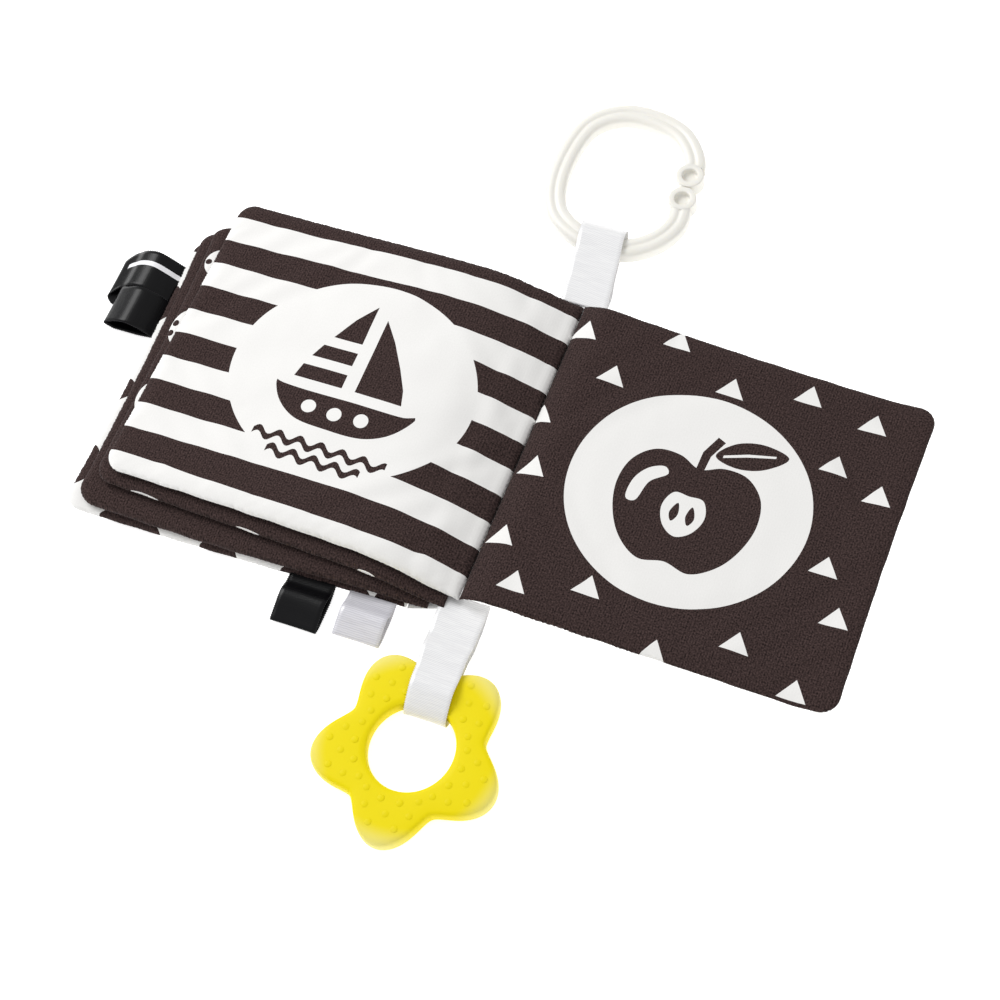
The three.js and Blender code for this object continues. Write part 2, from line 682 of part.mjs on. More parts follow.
const footTagX = (share) => frontCover.rootX - share * pageWidth;
const footTag = { height: footTagHeight, width: footTagWidth, floor: 0, slide: 0 };
const footTagPlaces = [
  { ...footTag, name: "black_foot_tag", x: footTagX(blackTagShare), reach: blackTagReach, cloth: blackSatin },
  { ...footTag, name: "grey_foot_tag", x: footTagX(greyTagShare), reach: greyTagReach, cloth: greySatin },
];
for (const tag of footTagPlaces) {
  const sides = [tag.x - tag.width / 2, tag.x + tag.width / 2].map(footEdgeAt);
  const seamZ = stackMiddle(0, tag.x);
  const place = [tag.x, Math.min(...sides) - 2 * seatGap, seamZ];
  placeLoop(tag.name, tagBand(tag, seamZ), tag.cloth, [0, -1], place);
}

export default book;
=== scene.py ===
# Soft cloth contrast book, lying open: padded leaves, satin tags, a clip ring and a star teether.
# Lengths are in millimetres here and become metres where a mesh is made.
import math

import bpy
import numpy as np
from mathutils import Matrix, Vector
from mathutils.geometry import delaunay_2d_cdt


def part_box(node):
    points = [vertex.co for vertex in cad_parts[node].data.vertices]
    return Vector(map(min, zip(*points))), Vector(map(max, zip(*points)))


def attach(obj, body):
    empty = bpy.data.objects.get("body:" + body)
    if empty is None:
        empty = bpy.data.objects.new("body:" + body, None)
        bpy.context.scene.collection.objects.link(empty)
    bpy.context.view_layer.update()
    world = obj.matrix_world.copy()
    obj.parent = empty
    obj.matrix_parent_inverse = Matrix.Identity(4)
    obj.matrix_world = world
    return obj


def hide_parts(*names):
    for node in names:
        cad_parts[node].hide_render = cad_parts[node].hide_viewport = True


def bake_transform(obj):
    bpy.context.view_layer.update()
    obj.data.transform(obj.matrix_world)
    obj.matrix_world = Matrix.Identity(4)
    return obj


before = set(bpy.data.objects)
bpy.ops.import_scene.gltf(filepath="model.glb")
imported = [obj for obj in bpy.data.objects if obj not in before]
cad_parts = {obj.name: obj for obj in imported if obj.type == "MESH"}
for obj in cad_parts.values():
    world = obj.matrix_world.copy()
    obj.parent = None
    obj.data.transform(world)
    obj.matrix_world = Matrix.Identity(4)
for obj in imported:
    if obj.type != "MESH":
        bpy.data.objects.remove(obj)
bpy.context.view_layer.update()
millimetre = 0.001
metre = 1 / millimetre
scene = bpy.context.scene


# Camera and studio

cameraSettings = {
    "place": (248.5, -371.9, 784.1),
    "right": (0.9239, 0.3644, -0.1167),
    "up": (-0.2736, 0.8425, 0.4641),
    "lens": 79.2,
    "sensor": 36.0,
}


def addCamera():
    lens = bpy.data.cameras.new("studioCamera")
    lens.lens = cameraSettings["lens"]
    lens.sensor_width = cameraSettings["sensor"]
    lens.clip_end = 20
    camera = bpy.data.objects.new("studioCamera", lens)
    right = Vector(cameraSettings["right"]).normalized()
    up = Vector(cameraSettings["up"])
    up = (up - up.dot(right) * right).normalized()
    turn = Matrix((right, up, right.cross(up))).transposed().to_4x4()
    camera.matrix_world = Matrix.Translation(Vector(cameraSettings["place"]) * millimetre) @ turn
    scene.collection.objects.link(camera)
    scene.camera = camera


studioSettings = {
    "backdrop": "#ffffff",
    "skyStrength": 0.6,
    "key": {"place": (-1.05, 0.4, 1.15), "size": 1.0, "power": 16.5},
    "fill": {"place": (1.1, -0.7, 1.0), "size": 1.4, "power": 2.2},
    "floorSize": 6.0,
    "floorColour": "#f4f4f4",
    "floorRoughness": 0.9,
    "floorGlow": 0.7,
}


def linearOf(hexColour):  # sRGB hex to linear, with alpha
    shares = [int(hexColour[k : k + 2], 16) / 255 for k in (1, 3, 5)]
    return [c / 12.92 if c <= 0.04045 else ((c + 0.055) / 1.055) ** 2.4 for c in shares] + [1.0]


def feed(tree, node, inputs):  # a socket among the values becomes a link
    for name, value in inputs.items():
        if isinstance(value, bpy.types.NodeSocket):
            tree.links.new(value, node.inputs[name])
        else:
            node.inputs[name].default_value = value


def addNode(tree, kind, inputs=None, **settings):  # a node with its settings, values and links
    node = tree.nodes.new(kind)
    for name, value in settings.items():
        setattr(node, name, value)
    feed(tree, node, inputs or {})
    return node


def addStudio():
    world = scene.world or bpy.data.worlds.new("studio")
    scene.world = world
    world.use_nodes = True
    background = next(n for n in world.node_tree.nodes if n.type == "BACKGROUND")
    feed(world.node_tree, background, {
        "Color": linearOf(studioSettings["backdrop"]), "Strength": studioSettings["skyStrength"],
    })
    for name in ("key", "fill"):
        lamp = studioSettings[name]
        light = bpy.data.lights.new(name + "Softbox", "AREA")
        light.shape = "DISK"
        light.size = lamp["size"]
        light.energy = lamp["power"]
        softbox = bpy.data.objects.new(name + "Softbox", light)
        place = Vector(lamp["place"])
        aim = (-place).to_track_quat("-Z", "Y").to_matrix().to_4x4()
        softbox.matrix_world = Matrix.Translation(place) @ aim
        scene.collection.objects.link(softbox)
    scene.view_settings.view_transform = "Standard"
    acrylic = bpy.data.materials.new("opalAcrylicTable")  # white acrylic, matt, with a little glow
    acrylic.use_nodes = True
    feed(acrylic.node_tree, acrylic.node_tree.nodes["Principled BSDF"], {
        "Base Color": linearOf(studioSettings["floorColour"]),
        "Roughness": studioSettings["floorRoughness"],
        "Emission Color": linearOf(studioSettings["backdrop"]),
        "Emission Strength": studioSettings["floorGlow"],
    })
    half = studioSettings["floorSize"] / 2
    sheet = bpy.data.meshes.new("floor")
    corners = [(-half, -half, 0), (half, -half, 0), (half, half, 0), (-half, half, 0)]
    sheet.from_pydata(corners, [], [(0, 1, 2, 3)])
    sheet.materials.append(acrylic)
    floor = bpy.data.objects.new("floor", sheet)
    scene.collection.objects.link(floor)


addCamera()
addStudio()
print("stage: camera and studio set")


# Materials

def newMaterial(name):
    material = bpy.data.materials.new(name)
    material.use_nodes = True
    tree = material.node_tree
    return material, tree, tree.nodes["Principled BSDF"]


wavePeriod = 0.314  # a wave texture at scale 1 repeats after this length

knitSettings = {
    "ribPitch": 1.1,  # courses of the brushed knit, drawn a little coarse so that they show
    "fibre": 0.7,  # the brushed nap's speckle, drawn coarse as well
    "ribShare": 0.08,  # how much of the ribs shows in the colour
    "middleTone": 0.54,
    "napRelief": 1.4,  # the nap's height against the ribs'
    "bumpDepth": 0.05,
    "finish": {
        "Roughness": 0.9, "Specular IOR Level": 0.1, "Sheen Weight": 0.06, "Sheen Roughness": 0.4,
    },
}


# Brushed polyester knit: matt, a fine nap that speckles the dark print, faint ribs across the page
def brushedKnit(name, dark, light, speckle, relief):
    knit = knitSettings
    material, tree, shader = newMaterial(name)
    place = addNode(tree, "ShaderNodeTexCoord").outputs["UV"]
    nap = addNode(tree, "ShaderNodeTexNoise", {
        "Vector": place, "Scale": metre / knit["fibre"], "Detail": 3.0,
    })
    ribs = addNode(
        tree, "ShaderNodeTexWave",
        {
            "Vector": place, "Scale": wavePeriod * metre / knit["ribPitch"],
            "Distortion": 0.6, "Detail": 1.0, "Detail Scale": 2.0,
        },
        bands_direction="X",
    )
    napHeight, ribHeight = nap.outputs["Fac"], ribs.outputs["Fac"]
    ribbed = addNode(
        tree, "ShaderNodeMath", {0: ribHeight, 1: knit["ribShare"], 2: napHeight}, operation="MULTIPLY_ADD"
    )
    spread = addNode(tree, "ShaderNodeMapRange", {
        "Value": ribbed.outputs[0],
        "From Min": knit["middleTone"] - speckle,
        "From Max": knit["middleTone"] + speckle,
    })
    tint = addNode(
        tree, "ShaderNodeMix", {0: spread.outputs["Result"], 6: linearOf(dark), 7: linearOf(light)},
        data_type="RGBA",
    )
    height = addNode(
        tree, "ShaderNodeMath", {0: napHeight, 1: knit["napRelief"], 2: ribHeight}, operation="MULTIPLY_ADD"
    )
    bump = addNode(tree, "ShaderNodeBump", {
        "Height": height.outputs[0], "Strength": relief, "Distance": knit["bumpDepth"] * millimetre,
    })
    feed(tree, shader, {"Base Color": tint.outputs[2], "Normal": bump.outputs["Normal"], **knit["finish"]})
    return material


# Spun polyester sewing thread: plain, softly matt
def spunThread(name, colour):
    material, tree, shader = newMaterial(name)
    feed(tree, shader, {"Base Color": linearOf(colour), "Roughness": 0.6, "Specular IOR Level": 0.3})
    return material


satinSettings = {
    "threadPitch": 0.85,  # rows of threads, drawn coarser than the real ones so that they show
    "threadShare": 0.5,  # how much of the rows shows against the painted uneven shine
    "paintedShine": (1500.0, 90.0, 1.0),  # painted uneven shine in the colour, in streaks close along the ribbon and wide across it
    "tones": (0.45, 1.05),
    "relief": 0.5,
    "bumpDepth": 0.035,
    "anisotropy": 0.6,
}


# Woven satin ribbon: fine rows of threads cross it and it shines in bands across its bends; its colour also
# carries a painted uneven shine, between the shade and the lit colour
def wovenSatin(name, colour, shade, roughness, gloss, slant=0.0, stripe=None):
    satin = satinSettings
    material, tree, shader = newMaterial(name)
    place = addNode(tree, "ShaderNodeTexCoord").outputs["UV"]
    slanted = addNode(tree, "ShaderNodeMapping", {"Vector": place, "Rotation": (0.0, 0.0, slant)})
    threads = addNode(
        tree, "ShaderNodeTexWave",
        {
            "Vector": slanted.outputs["Vector"], "Scale": wavePeriod * metre / satin["threadPitch"],
            "Distortion": 1.6, "Detail": 2.0, "Detail Scale": 2.5,
        },
        bands_direction="X",
    )
    paintedShine = addNode(tree, "ShaderNodeMapping", {"Vector": place, "Scale": satin["paintedShine"]})
    # noise for the painted shine streaks in the colour
    flow = addNode(tree, "ShaderNodeTexNoise", {
        "Vector": paintedShine.outputs["Vector"], "Scale": 1.0, "Detail": 2.0,
    })
    mixed = addNode(
        tree, "ShaderNodeMath", {0: threads.outputs["Fac"], 1: satin["threadShare"], 2: flow.outputs["Fac"]},
        operation="MULTIPLY_ADD",
    )
    low, high = satin["tones"]
    spread = addNode(tree, "ShaderNodeMapRange", {
        "Value": mixed.outputs[0], "From Min": low, "From Max": high,
    })
    # painted shine: the colour runs from the shade to the lit colour with the thread rows and the shine
    # streaks
    tint = addNode(
        tree, "ShaderNodeMix", {0: spread.outputs["Result"], 6: linearOf(shade), 7: linearOf(colour)},
        data_type="RGBA",
    )
    painted = tint.outputs[2]
    if stripe:
        painted = wovenStripe(tree, place, painted, stripe)
    bump = addNode(tree, "ShaderNodeBump", {
        "Height": mixed.outputs[0], "Strength": satin["relief"], "Distance": satin["bumpDepth"] * millimetre,
    })
    tangent = addNode(tree, "ShaderNodeTangent", direction_type="UV_MAP", uv_map="clothMap")
    feed(tree, shader, {
        "Base Color": painted, "Normal": bump.outputs["Normal"], "Tangent": tangent.outputs["Tangent"],
        "Roughness": roughness, "Specular IOR Level": gloss, "Anisotropic": satin["anisotropy"],
    })
    return material


# A contrast thread woven in along the ribbon: crisp edges, as wide and as far as it is given
def wovenStripe(tree, place, ground, stripe):
    middle, half = stripe["middle"] * millimetre, stripe["width"] / 2 * millimetre
    end = stripe["end"] * millimetre
    lane = addNode(tree, "ShaderNodeSeparateXYZ", {"Vector": place})
    off = addNode(tree, "ShaderNodeMath", {0: lane.outputs["Y"], 1: middle}, operation="SUBTRACT")
    far = addNode(tree, "ShaderNodeMath", {0: off.outputs[0]}, operation="ABSOLUTE")
    inside = addNode(tree, "ShaderNodeMath", {0: far.outputs[0], 1: half}, operation="LESS_THAN")
    before = addNode(tree, "ShaderNodeMath", {0: lane.outputs["X"], 1: end}, operation="LESS_THAN")
    seen = addNode(
        tree, "ShaderNodeMath", {0: inside.outputs[0], 1: before.outputs[0]}, operation="MULTIPLY"
    )
    over = addNode(
        tree, "ShaderNodeMix", {0: seen.outputs[0], 6: ground, 7: linearOf(stripe["colour"])},
        data_type="RGBA",
    )
    return over.outputs[2]


plasticSettings = {
    "colours": ("#e9e7df", "#f0eee8"),
    "flowScale": 60.0,
    "grainScale": 1400.0,
    "bump": {"Strength": 0.12, "Distance": 0.00003},
    "finish": {
        "Roughness": 0.36, "IOR": 1.49,
        "Subsurface Weight": 0.12, "Subsurface Radius": (0.9, 0.8, 0.6), "Subsurface Scale": 0.002,
    },
}


# Injection-moulded polypropylene: warm white, soft gloss, faint flow marks
def mouldedPlastic():
    plastic = plasticSettings
    material, tree, shader = newMaterial("mouldedWhitePolypropylene")
    place = addNode(tree, "ShaderNodeTexCoord").outputs["Object"]
    flow = addNode(tree, "ShaderNodeTexNoise", {
        "Vector": place, "Scale": plastic["flowScale"], "Detail": 3.0,
    })
    first, second = [linearOf(colour) for colour in plastic["colours"]]
    tint = addNode(tree, "ShaderNodeMix", {0: flow.outputs["Fac"], 6: first, 7: second}, data_type="RGBA")
    grain = addNode(tree, "ShaderNodeTexNoise", {
        "Vector": place, "Scale": plastic["grainScale"], "Detail": 2.0,
    })
    bump = addNode(tree, "ShaderNodeBump", {"Height": grain.outputs["Fac"], **plastic["bump"]})
    feed(tree, shader, {
        "Base Color": tint.outputs[2], "Normal": bump.outputs["Normal"], **plastic["finish"],
    })
    return material


siliconeSettings = {
    "colours": ("#efdc00", "#f0e68a"),  # the body and the lobes' tips
    "centre": (18.2, -131.2, 5.0),  # the middle of the star, from which the paleness is measured
    "paleFrom": 32.0,
    "paleTo": 42.5,
    "skinScale": 2200.0,
    "bump": {"Strength": 0.15, "Distance": 0.00003},
    "finish": {
        "Roughness": 0.5, "IOR": 1.41, "Specular IOR Level": 0.22,
        "Subsurface Weight": 0.06, "Subsurface Radius": (1.0, 0.9, 0.2), "Subsurface Scale": 0.003,
    },
}


# Moulded food-grade silicone: even yellow, a satin skin, paler where light comes through the lobes
def mouldedSilicone():
    silicone = siliconeSettings
    material, tree, shader = newMaterial("mouldedYellowSilicone")
    place = addNode(tree, "ShaderNodeTexCoord").outputs["Object"]
    centre = [value * millimetre for value in silicone["centre"]]
    reach = addNode(tree, "ShaderNodeVectorMath", {0: place, 1: centre}, operation="DISTANCE")
    pale = addNode(
        tree, "ShaderNodeMapRange",
        {
            "Value": reach.outputs["Value"],
            "From Min": silicone["paleFrom"] * millimetre,
            "From Max": silicone["paleTo"] * millimetre,
        },
        interpolation_type="SMOOTHSTEP",
    )
    first, second = [linearOf(colour) for colour in silicone["colours"]]
    tint = addNode(
        tree, "ShaderNodeMix", {0: pale.outputs["Result"], 6: first, 7: second}, data_type="RGBA"
    )
    skin = addNode(tree, "ShaderNodeTexNoise", {
        "Vector": place, "Scale": silicone["skinScale"], "Detail": 2.0,
    })
    bump = addNode(tree, "ShaderNodeBump", {"Height": skin.outputs["Fac"], **silicone["bump"]})
    feed(tree, shader, {
        "Base Color": tint.outputs[2], "Normal": bump.outputs["Normal"], **silicone["finish"],
    })
    return material


darkKnit = brushedKnit("darkBrushedKnit", "#160f0e", "#50403e", 0.2, 0.6)
whiteKnit = brushedKnit("whiteBrushedKnit", "#ebeae8", "#f1f0ee", 0.3, 0.2)
# the spine strip's white cover cloth, painted grey for the shade it lies in under the gutter
paintedShadeKnit = brushedKnit("paintedShadeCoverKnit", "#c9c9cc", "#e6e6e8", 0.3, 0.4)
blackSatin = wovenSatin("blackWovenSatin", "#0d0d0f", "#050507", 0.25, 0.2)
stripedSatin = wovenSatin(
    "stripedWovenSatin", "#0d0d0f", "#050507", 0.25, 0.2,
    stripe={"middle": 2.8, "width": 2.3, "end": 27.5, "colour": "#ededf0"},
)
greySatin = wovenSatin("greyWovenSatin", "#dddce2", "#c5c4cb", 0.3, 1.0)
whiteSatin = wovenSatin("whiteWovenSatin", "#f1f1f1", "#e1e1e3", 0.28, 1.0, slant=0.75)
whiteThread = spunThread("whiteSpunThread", "#ecebe9")
blackThread = spunThread("blackSpunThread", "#252327")
greyThread = spunThread("greySpunThread", "#d4d3da")
brownThread = spunThread("brownSpunThread", "#4a403f")
ringPlastic = mouldedPlastic()
teetherSilicone = mouldedSilicone()
print("stage: materials made")


# Mesh helpers

# Points are in millimetres, and there is one uv place for each
def addMesh(name, points, faces, materials, faceSlots=None, uvs=None):
    mesh = bpy.data.meshes.new(name)
    mesh.from_pydata((np.asarray(points, float) * millimetre).tolist(), [], faces)
    for material in materials:
        mesh.materials.append(material)
    if faceSlots is not None:
        mesh.polygons.foreach_set("material_index", faceSlots)
    if uvs is not None:
        corner = np.empty(len(mesh.loops), dtype=np.int32)
        mesh.loops.foreach_get("vertex_index", corner)
        layer = mesh.uv_layers.new(name="clothMap")
        layer.data.foreach_set("uv", (np.asarray(uvs, float)[corner] * millimetre).astype(np.float32).ravel())
    mesh.polygons.foreach_set("use_smooth", [True] * len(mesh.polygons))
    mesh.update()
    piece = bpy.data.objects.new(name, mesh)
    scene.collection.objects.link(piece)
    return piece


def ease(t):
    t = np.clip(t, 0, 1)
    return t * t * (3 - 2 * t)


# A centripetal Catmull-Rom line through the knots, resampled evenly
def smoothLine(knots, count, closed=False):
    knots = np.asarray(knots, float)
    if closed:
        ends = np.vstack([knots[-1:], knots, knots[:2]])
    else:
        ends = np.vstack([2 * knots[0] - knots[1], knots, 2 * knots[-1] - knots[-2]])
    line = []
    for k in range(1, len(ends) - 2):
        p = ends[k - 1 : k + 3]
        gaps = np.maximum(np.linalg.norm(np.diff(p, axis=0), axis=1), 1e-6)
        t = np.concatenate([[0], np.cumsum(gaps**0.5)])
        for s in np.linspace(t[1], t[2], 24, endpoint=False):
            a = [between(p[i], p[i + 1], t[i], t[i + 1], s) for i in range(3)]
            b = [between(a[i], a[i + 1], t[i], t[i + 2], s) for i in range(2)]
            line.append(between(b[0], b[1], t[1], t[2], s))
    line.append(ends[-2])
    return resampled(np.array(line), count)


def between(first, second, start, end, s):
    return first * (end - s) / (end - start) + second * (s - start) / (end - start)


def runLengths(line):  # how far along the line each of its points lies
    return np.concatenate([[0], np.cumsum(np.linalg.norm(np.diff(line, axis=0), axis=1))])


def headings(line):
    along = np.gradient(line, axis=0)
    return along / np.linalg.norm(along, axis=1)[:, None]


def resampled(line, count):
    steps = runLengths(line)
    places = np.linspace(0, steps[-1], count + 1)
    return np.stack([np.interp(places, steps, line[:, k]) for k in range(line.shape[1])], axis=1)


# A bar from rows of count points round it, with its faces outwards
def addBar(name, points, count, material, closed=False, uvs=None):
    rows = len(points) // count
    faces = []
    for k in range(rows if closed else rows - 1):
        far = (k + 1) % rows
        for i in range(count):
            j = (i + 1) % count
            faces.append((k * count + i, far * count + i, far * count + j, k * count + j))
    if not closed:
        faces += [tuple(range(count)), tuple(range(rows * count - 1, (rows - 1) * count - 1, -1))]
    piece = addMesh(name, points, faces, [material], None, uvs)
    mesh = piece.data
    if sum(p.center.dot(p.normal) * p.area for p in mesh.polygons) < 0:
        mesh.flip_normals()
    return piece


def joinedPiece(name, parts):
    bpy.ops.object.select_all(action="DESELECT")
    for part in parts:
        part.select_set(True)
    bpy.context.view_layer.objects.active = parts[0]
    bpy.ops.object.join()
    piece = parts[0]
    piece.name = piece.data.name = name
    piece.select_set(False)
    return piece


def geometryTree(name, inputs):
    tree = bpy.data.node_groups.new(name, "GeometryNodeTree")
    tree.interface.new_socket("Geometry", in_out="INPUT", socket_type="NodeSocketGeometry")
    for label, kind in inputs:
        tree.interface.new_socket(label, in_out="INPUT", socket_type=kind)
    tree.interface.new_socket("Geometry", in_out="OUTPUT", socket_type="NodeSocketGeometry")
    return tree, addNode(tree, "NodeGroupInput"), addNode(tree, "NodeGroupOutput")


def bakedPiece(carrier, tree, values, name):
    modifier = carrier.modifiers.new("nodes", "NODES")
    modifier.node_group = tree
    for item in tree.interface.items_tree:
        if item.item_type == "SOCKET" and item.in_out == "INPUT" and item.name in values:
            modifier[item.identifier] = values[item.name]
    bpy.context.view_layer.update()
    settled = carrier.evaluated_get(bpy.context.evaluated_depsgraph_get())
    mesh = bpy.data.meshes.new_from_object(settled)
    mesh.name = name
    carrier.modifiers.remove(modifier)
    old = carrier.data
    bpy.data.objects.remove(carrier)
    bpy.data.meshes.remove(old)
    mesh.polygons.foreach_set("use_smooth", [True] * len(mesh.polygons))
    piece = bpy.data.objects.new(name, mesh)
    scene.collection.objects.link(piece)
    return piece


# Short threads at an even pitch along lines: sewing stitches, and the loops of a ribbon's selvedge
def threadTree():
    tree, start, end = geometryTree("evenThreads", [
        ("Pitch", "NodeSocketFloat"), ("Thickness", "NodeSocketFloat"), ("Length", "NodeSocketFloat"),
        ("Material", "NodeSocketMaterial"),
    ])
    curve = addNode(tree, "GeometryNodeMeshToCurve", {"Mesh": start.outputs["Geometry"]})
    even = addNode(
        tree, "GeometryNodeResampleCurve",
        {"Curve": curve.outputs["Curve"], "Length": start.outputs["Pitch"]}, mode="LENGTH",
    )
    loop = addNode(tree, "GeometryNodeMeshUVSphere", {"Segments": 6, "Rings": 4, "Radius": 0.5})
    size = addNode(tree, "ShaderNodeCombineXYZ", {
        "X": start.outputs["Thickness"], "Y": start.outputs["Thickness"], "Z": start.outputs["Length"],
    })
    shape = addNode(tree, "GeometryNodeTransform", {
        "Geometry": loop.outputs["Mesh"], "Scale": size.outputs["Vector"],
    })
    tangent = addNode(tree, "GeometryNodeInputTangent")
    turn = addNode(
        tree, "FunctionNodeAlignRotationToVector", {"Vector": tangent.outputs["Tangent"]}, axis="Z"
    )
    many = addNode(tree, "GeometryNodeInstanceOnPoints", {
        "Points": even.outputs["Curve"], "Instance": shape.outputs["Geometry"],
        "Rotation": turn.outputs["Rotation"],
    })
    real = addNode(tree, "GeometryNodeRealizeInstances", {"Geometry": many.outputs["Instances"]})
    dressed = addNode(tree, "GeometryNodeSetMaterial", {
        "Geometry": real.outputs["Geometry"], "Material": start.outputs["Material"],
    })
    feed(tree, end, {"Geometry": dressed.outputs["Geometry"]})
    return tree


evenThreads = threadTree()


def addThreads(name, lines, thread, pitch, thickness, length):
    mesh = bpy.data.meshes.new(name + "Line")
    points, edges = [], []
    for line in lines:
        first = len(points)
        points += [tuple(np.array(p) * millimetre) for p in line]
        edges += [(first + k, first + k + 1) for k in range(len(line) - 1)]
    mesh.from_pydata(points, edges, [])
    carrier = bpy.data.objects.new(name + "Line", mesh)
    scene.collection.objects.link(carrier)
    values = {
        "Pitch": pitch * millimetre, "Thickness": thickness * millimetre, "Length": length * millimetre,
        "Material": thread,
    }
    return bakedPiece(carrier, evenThreads, values, name)


# The cloth simulation of one flat pad: its seam thread draws in, the filling pushes out, and the
# folds that this leaves are kept as a height field for all the leaves

padSettings = {
    "width": 155.0,
    "height": 140.0,
    "cell": 2.0,
    "startHalf": 2.2,
    "roundWidth": 9.0,
    "roundPower": 2.2,
    "simScale": 0.01,  # ten times life size, where the solver is steady
    "frames": 20,
    "cloth": {
        "quality": 5, "mass": 0.15,
        "tension_stiffness": 15, "compression_stiffness": 15, "shear_stiffness": 5, "bending_stiffness": 0.5,
        "use_pressure": True, "uniform_pressure_force": 0.05,
        "vertex_group_shrink": "seam", "shrink_max": 0.03,
    },
    "foldCap": 1.6,
    "broadReach": 7,  # in cells
    "broadShare": 0.75,  # how much of the broad swelling is taken out of the folds
}


def simulatedFolds():
    width, height, cell = (padSettings[key] for key in ("width", "height", "cell"))
    columns, rows = round(width / cell), round(height / cell)
    u, v = np.meshgrid(
        np.linspace(0, width, columns + 1), np.linspace(-height / 2, height / 2, rows + 1), indexing="ij"
    )
    edge = np.minimum(np.minimum(u, width - u), np.minimum(v + height / 2, height / 2 - v))
    inward = 1 - np.clip(edge / padSettings["roundWidth"], 0, 1)
    power = padSettings["roundPower"]
    swell = padSettings["startHalf"] * (1 - inward**power) ** (1 / power)
    number = np.full((2, columns + 1, rows + 1), -1)
    points, faces, rim = [], [], []
    for side, sign in ((0, 1), (1, -1)):
        for i in range(columns + 1):
            for j in range(rows + 1):
                onRim = i in (0, columns) or j in (0, rows)
                if onRim and side:
                    number[1, i, j] = number[0, i, j]
                    continue
                number[side, i, j] = len(points)
                if onRim:
                    rim.append(len(points))
                points.append((u[i, j], v[i, j], sign * swell[i, j]))
        for i in range(columns):
            for j in range(rows):
                corners = ((i, j), (i + 1, j), (i + 1, j + 1), (i, j + 1))
                faces.append([int(number[side, a, b]) for a, b in corners[::sign]])
    mesh = bpy.data.meshes.new("simulatedPad")
    mesh.from_pydata((np.array(points) * padSettings["simScale"]).tolist(), [], faces)
    pad = bpy.data.objects.new("simulatedPad", mesh)
    scene.collection.objects.link(pad)
    seam = pad.vertex_groups.new(name="seam")
    seam.add(rim, 1.0, "REPLACE")
    cloth = pad.modifiers.new("cloth", "CLOTH")
    for name, value in padSettings["cloth"].items():
        setattr(cloth.settings, name, value)
    cloth.settings.effector_weights.gravity = 0
    cloth.collision_settings.use_collision = False
    for step in range(1, padSettings["frames"] + 1):
        scene.frame_set(step)
    settled = pad.evaluated_get(bpy.context.evaluated_depsgraph_get())
    place = np.array([w.co for w in settled.data.vertices]) / padSettings["simScale"]
    scene.frame_set(1)
    bpy.data.objects.remove(pad)
    bpy.data.meshes.remove(mesh)
    folds = np.stack([place[number[side], 2] * sign for side, sign in ((0, 1), (1, -1))]) - swell[None]
    broad = np.stack([softened(field, padSettings["broadReach"]) for field in folds])
    return np.clip(folds - broad * padSettings["broadShare"], -padSettings["foldCap"], padSettings["foldCap"])


def softened(field, reach):  # a box blur, twice
    for _ in range(2):
        for axis in (0, 1):
            wide = np.pad(field, [(reach, reach) if k == axis else (0, 0) for k in (0, 1)], mode="edge")
            total = np.cumsum(np.insert(wide, 0, 0, axis=axis), axis=axis)
            upper = np.take(total, np.arange(2 * reach + 1, total.shape[axis]), axis=axis)
            lower = np.take(total, np.arange(0, total.shape[axis] - 2 * reach - 1), axis=axis)
            field = (upper - lower) / (2 * reach + 1)
    return field


folds = simulatedFolds()
print("stage: pad simulated, folds to", round(float(np.abs(folds).max()), 2), "mm")


# The leaves' forms, as in the CAD model

bookSettings = {
    "backPageWidth": 152.0,
    "pageHeight": 140.0,
    "taper": 0.03,
    "cornerRadius": 8.0,
    "padThickness": 5.6,
    "seamThickness": 2.4,
    "edgeRound": 7.0,
    "edgePower": 2.4,
    "spineRise": 34.0,
    "risePower": 2.4,
    "drawnIn": 1.3,
    "leafGap": 0.45,
    "backRoot": (13.8, 9.8),
    "backSlide": 3.1,
    "backDrift": 0.5,
    "humpRise": 3.0,
    "humpLength": 11.0,
    "backRestShare": 0.86,
    "backLift": 1.2,
    "backSag": 0.12,
    "backSwell": 14.0,
    "seamPitch": 2.3,
    "seamStitch": (0.28, 1.1),  # a stitch's thickness and length
}
book = bookSettings

stackLeaves = [  # from the table up: where each starts, and how far its fore edge lies up the page
    {"root": (-8.0, -3.6), "drift": -4.8, "width": 155.0},
    {"root": (1.0, -2.394), "drift": -4.004, "width": 158.1},
    {"root": (8.0, -0.994), "drift": 3.402, "width": 158.1},
    {"root": (12.2, 2.996), "drift": 1.596, "width": 158.1},
]


def halfHeightAt(share):
    return book["pageHeight"] / 2 * (1 + book["taper"] * (0.5 - share))


def fullness(share):  # from the seam's thickness to the pad's
    return book["seamThickness"] + (book["padThickness"] - book["seamThickness"]) * share


def stackThickness(k, x):
    left = 1 - np.clip((stackLeaves[k]["root"][0] - x) / book["spineRise"], 0, 1)
    return fullness(1 - left ** book["risePower"])


def stackMiddle(k, x):
    under = sum(stackThickness(below, x) + book["leafGap"] for below in range(k))
    return under + stackThickness(k, x) / 2


def backMiddle(u):
    rest = book["backRestShare"] * book["backPageWidth"]
    root = book["backRoot"][1]
    top, low = root + book["humpRise"], book["padThickness"] / 2
    hump = root + book["humpRise"] * np.sin(np.clip(u / book["humpLength"], 0, 1) * math.pi / 2)
    t = np.clip((u - book["humpLength"]) / (rest - book["humpLength"]), 0, 1)
    slope = top + (low - top) * (t + (t - t * t) * book["backSag"])
    lift = low + book["backLift"] * (np.clip(u - rest, 0, None) / (book["backPageWidth"] - rest)) ** 2
    return np.where(u < book["humpLength"], hump, np.where(u < rest, slope, lift))


def seamDistance(u, v, width):  # how far inside the three sewn sides a place is
    a = u - (width - book["cornerRadius"])
    b = np.abs(v) - (book["pageHeight"] / 2 - book["cornerRadius"])
    outside = np.hypot(np.maximum(a, 0), np.maximum(b, 0))
    return book["cornerRadius"] - (outside + np.minimum(np.maximum(a, b), 0))


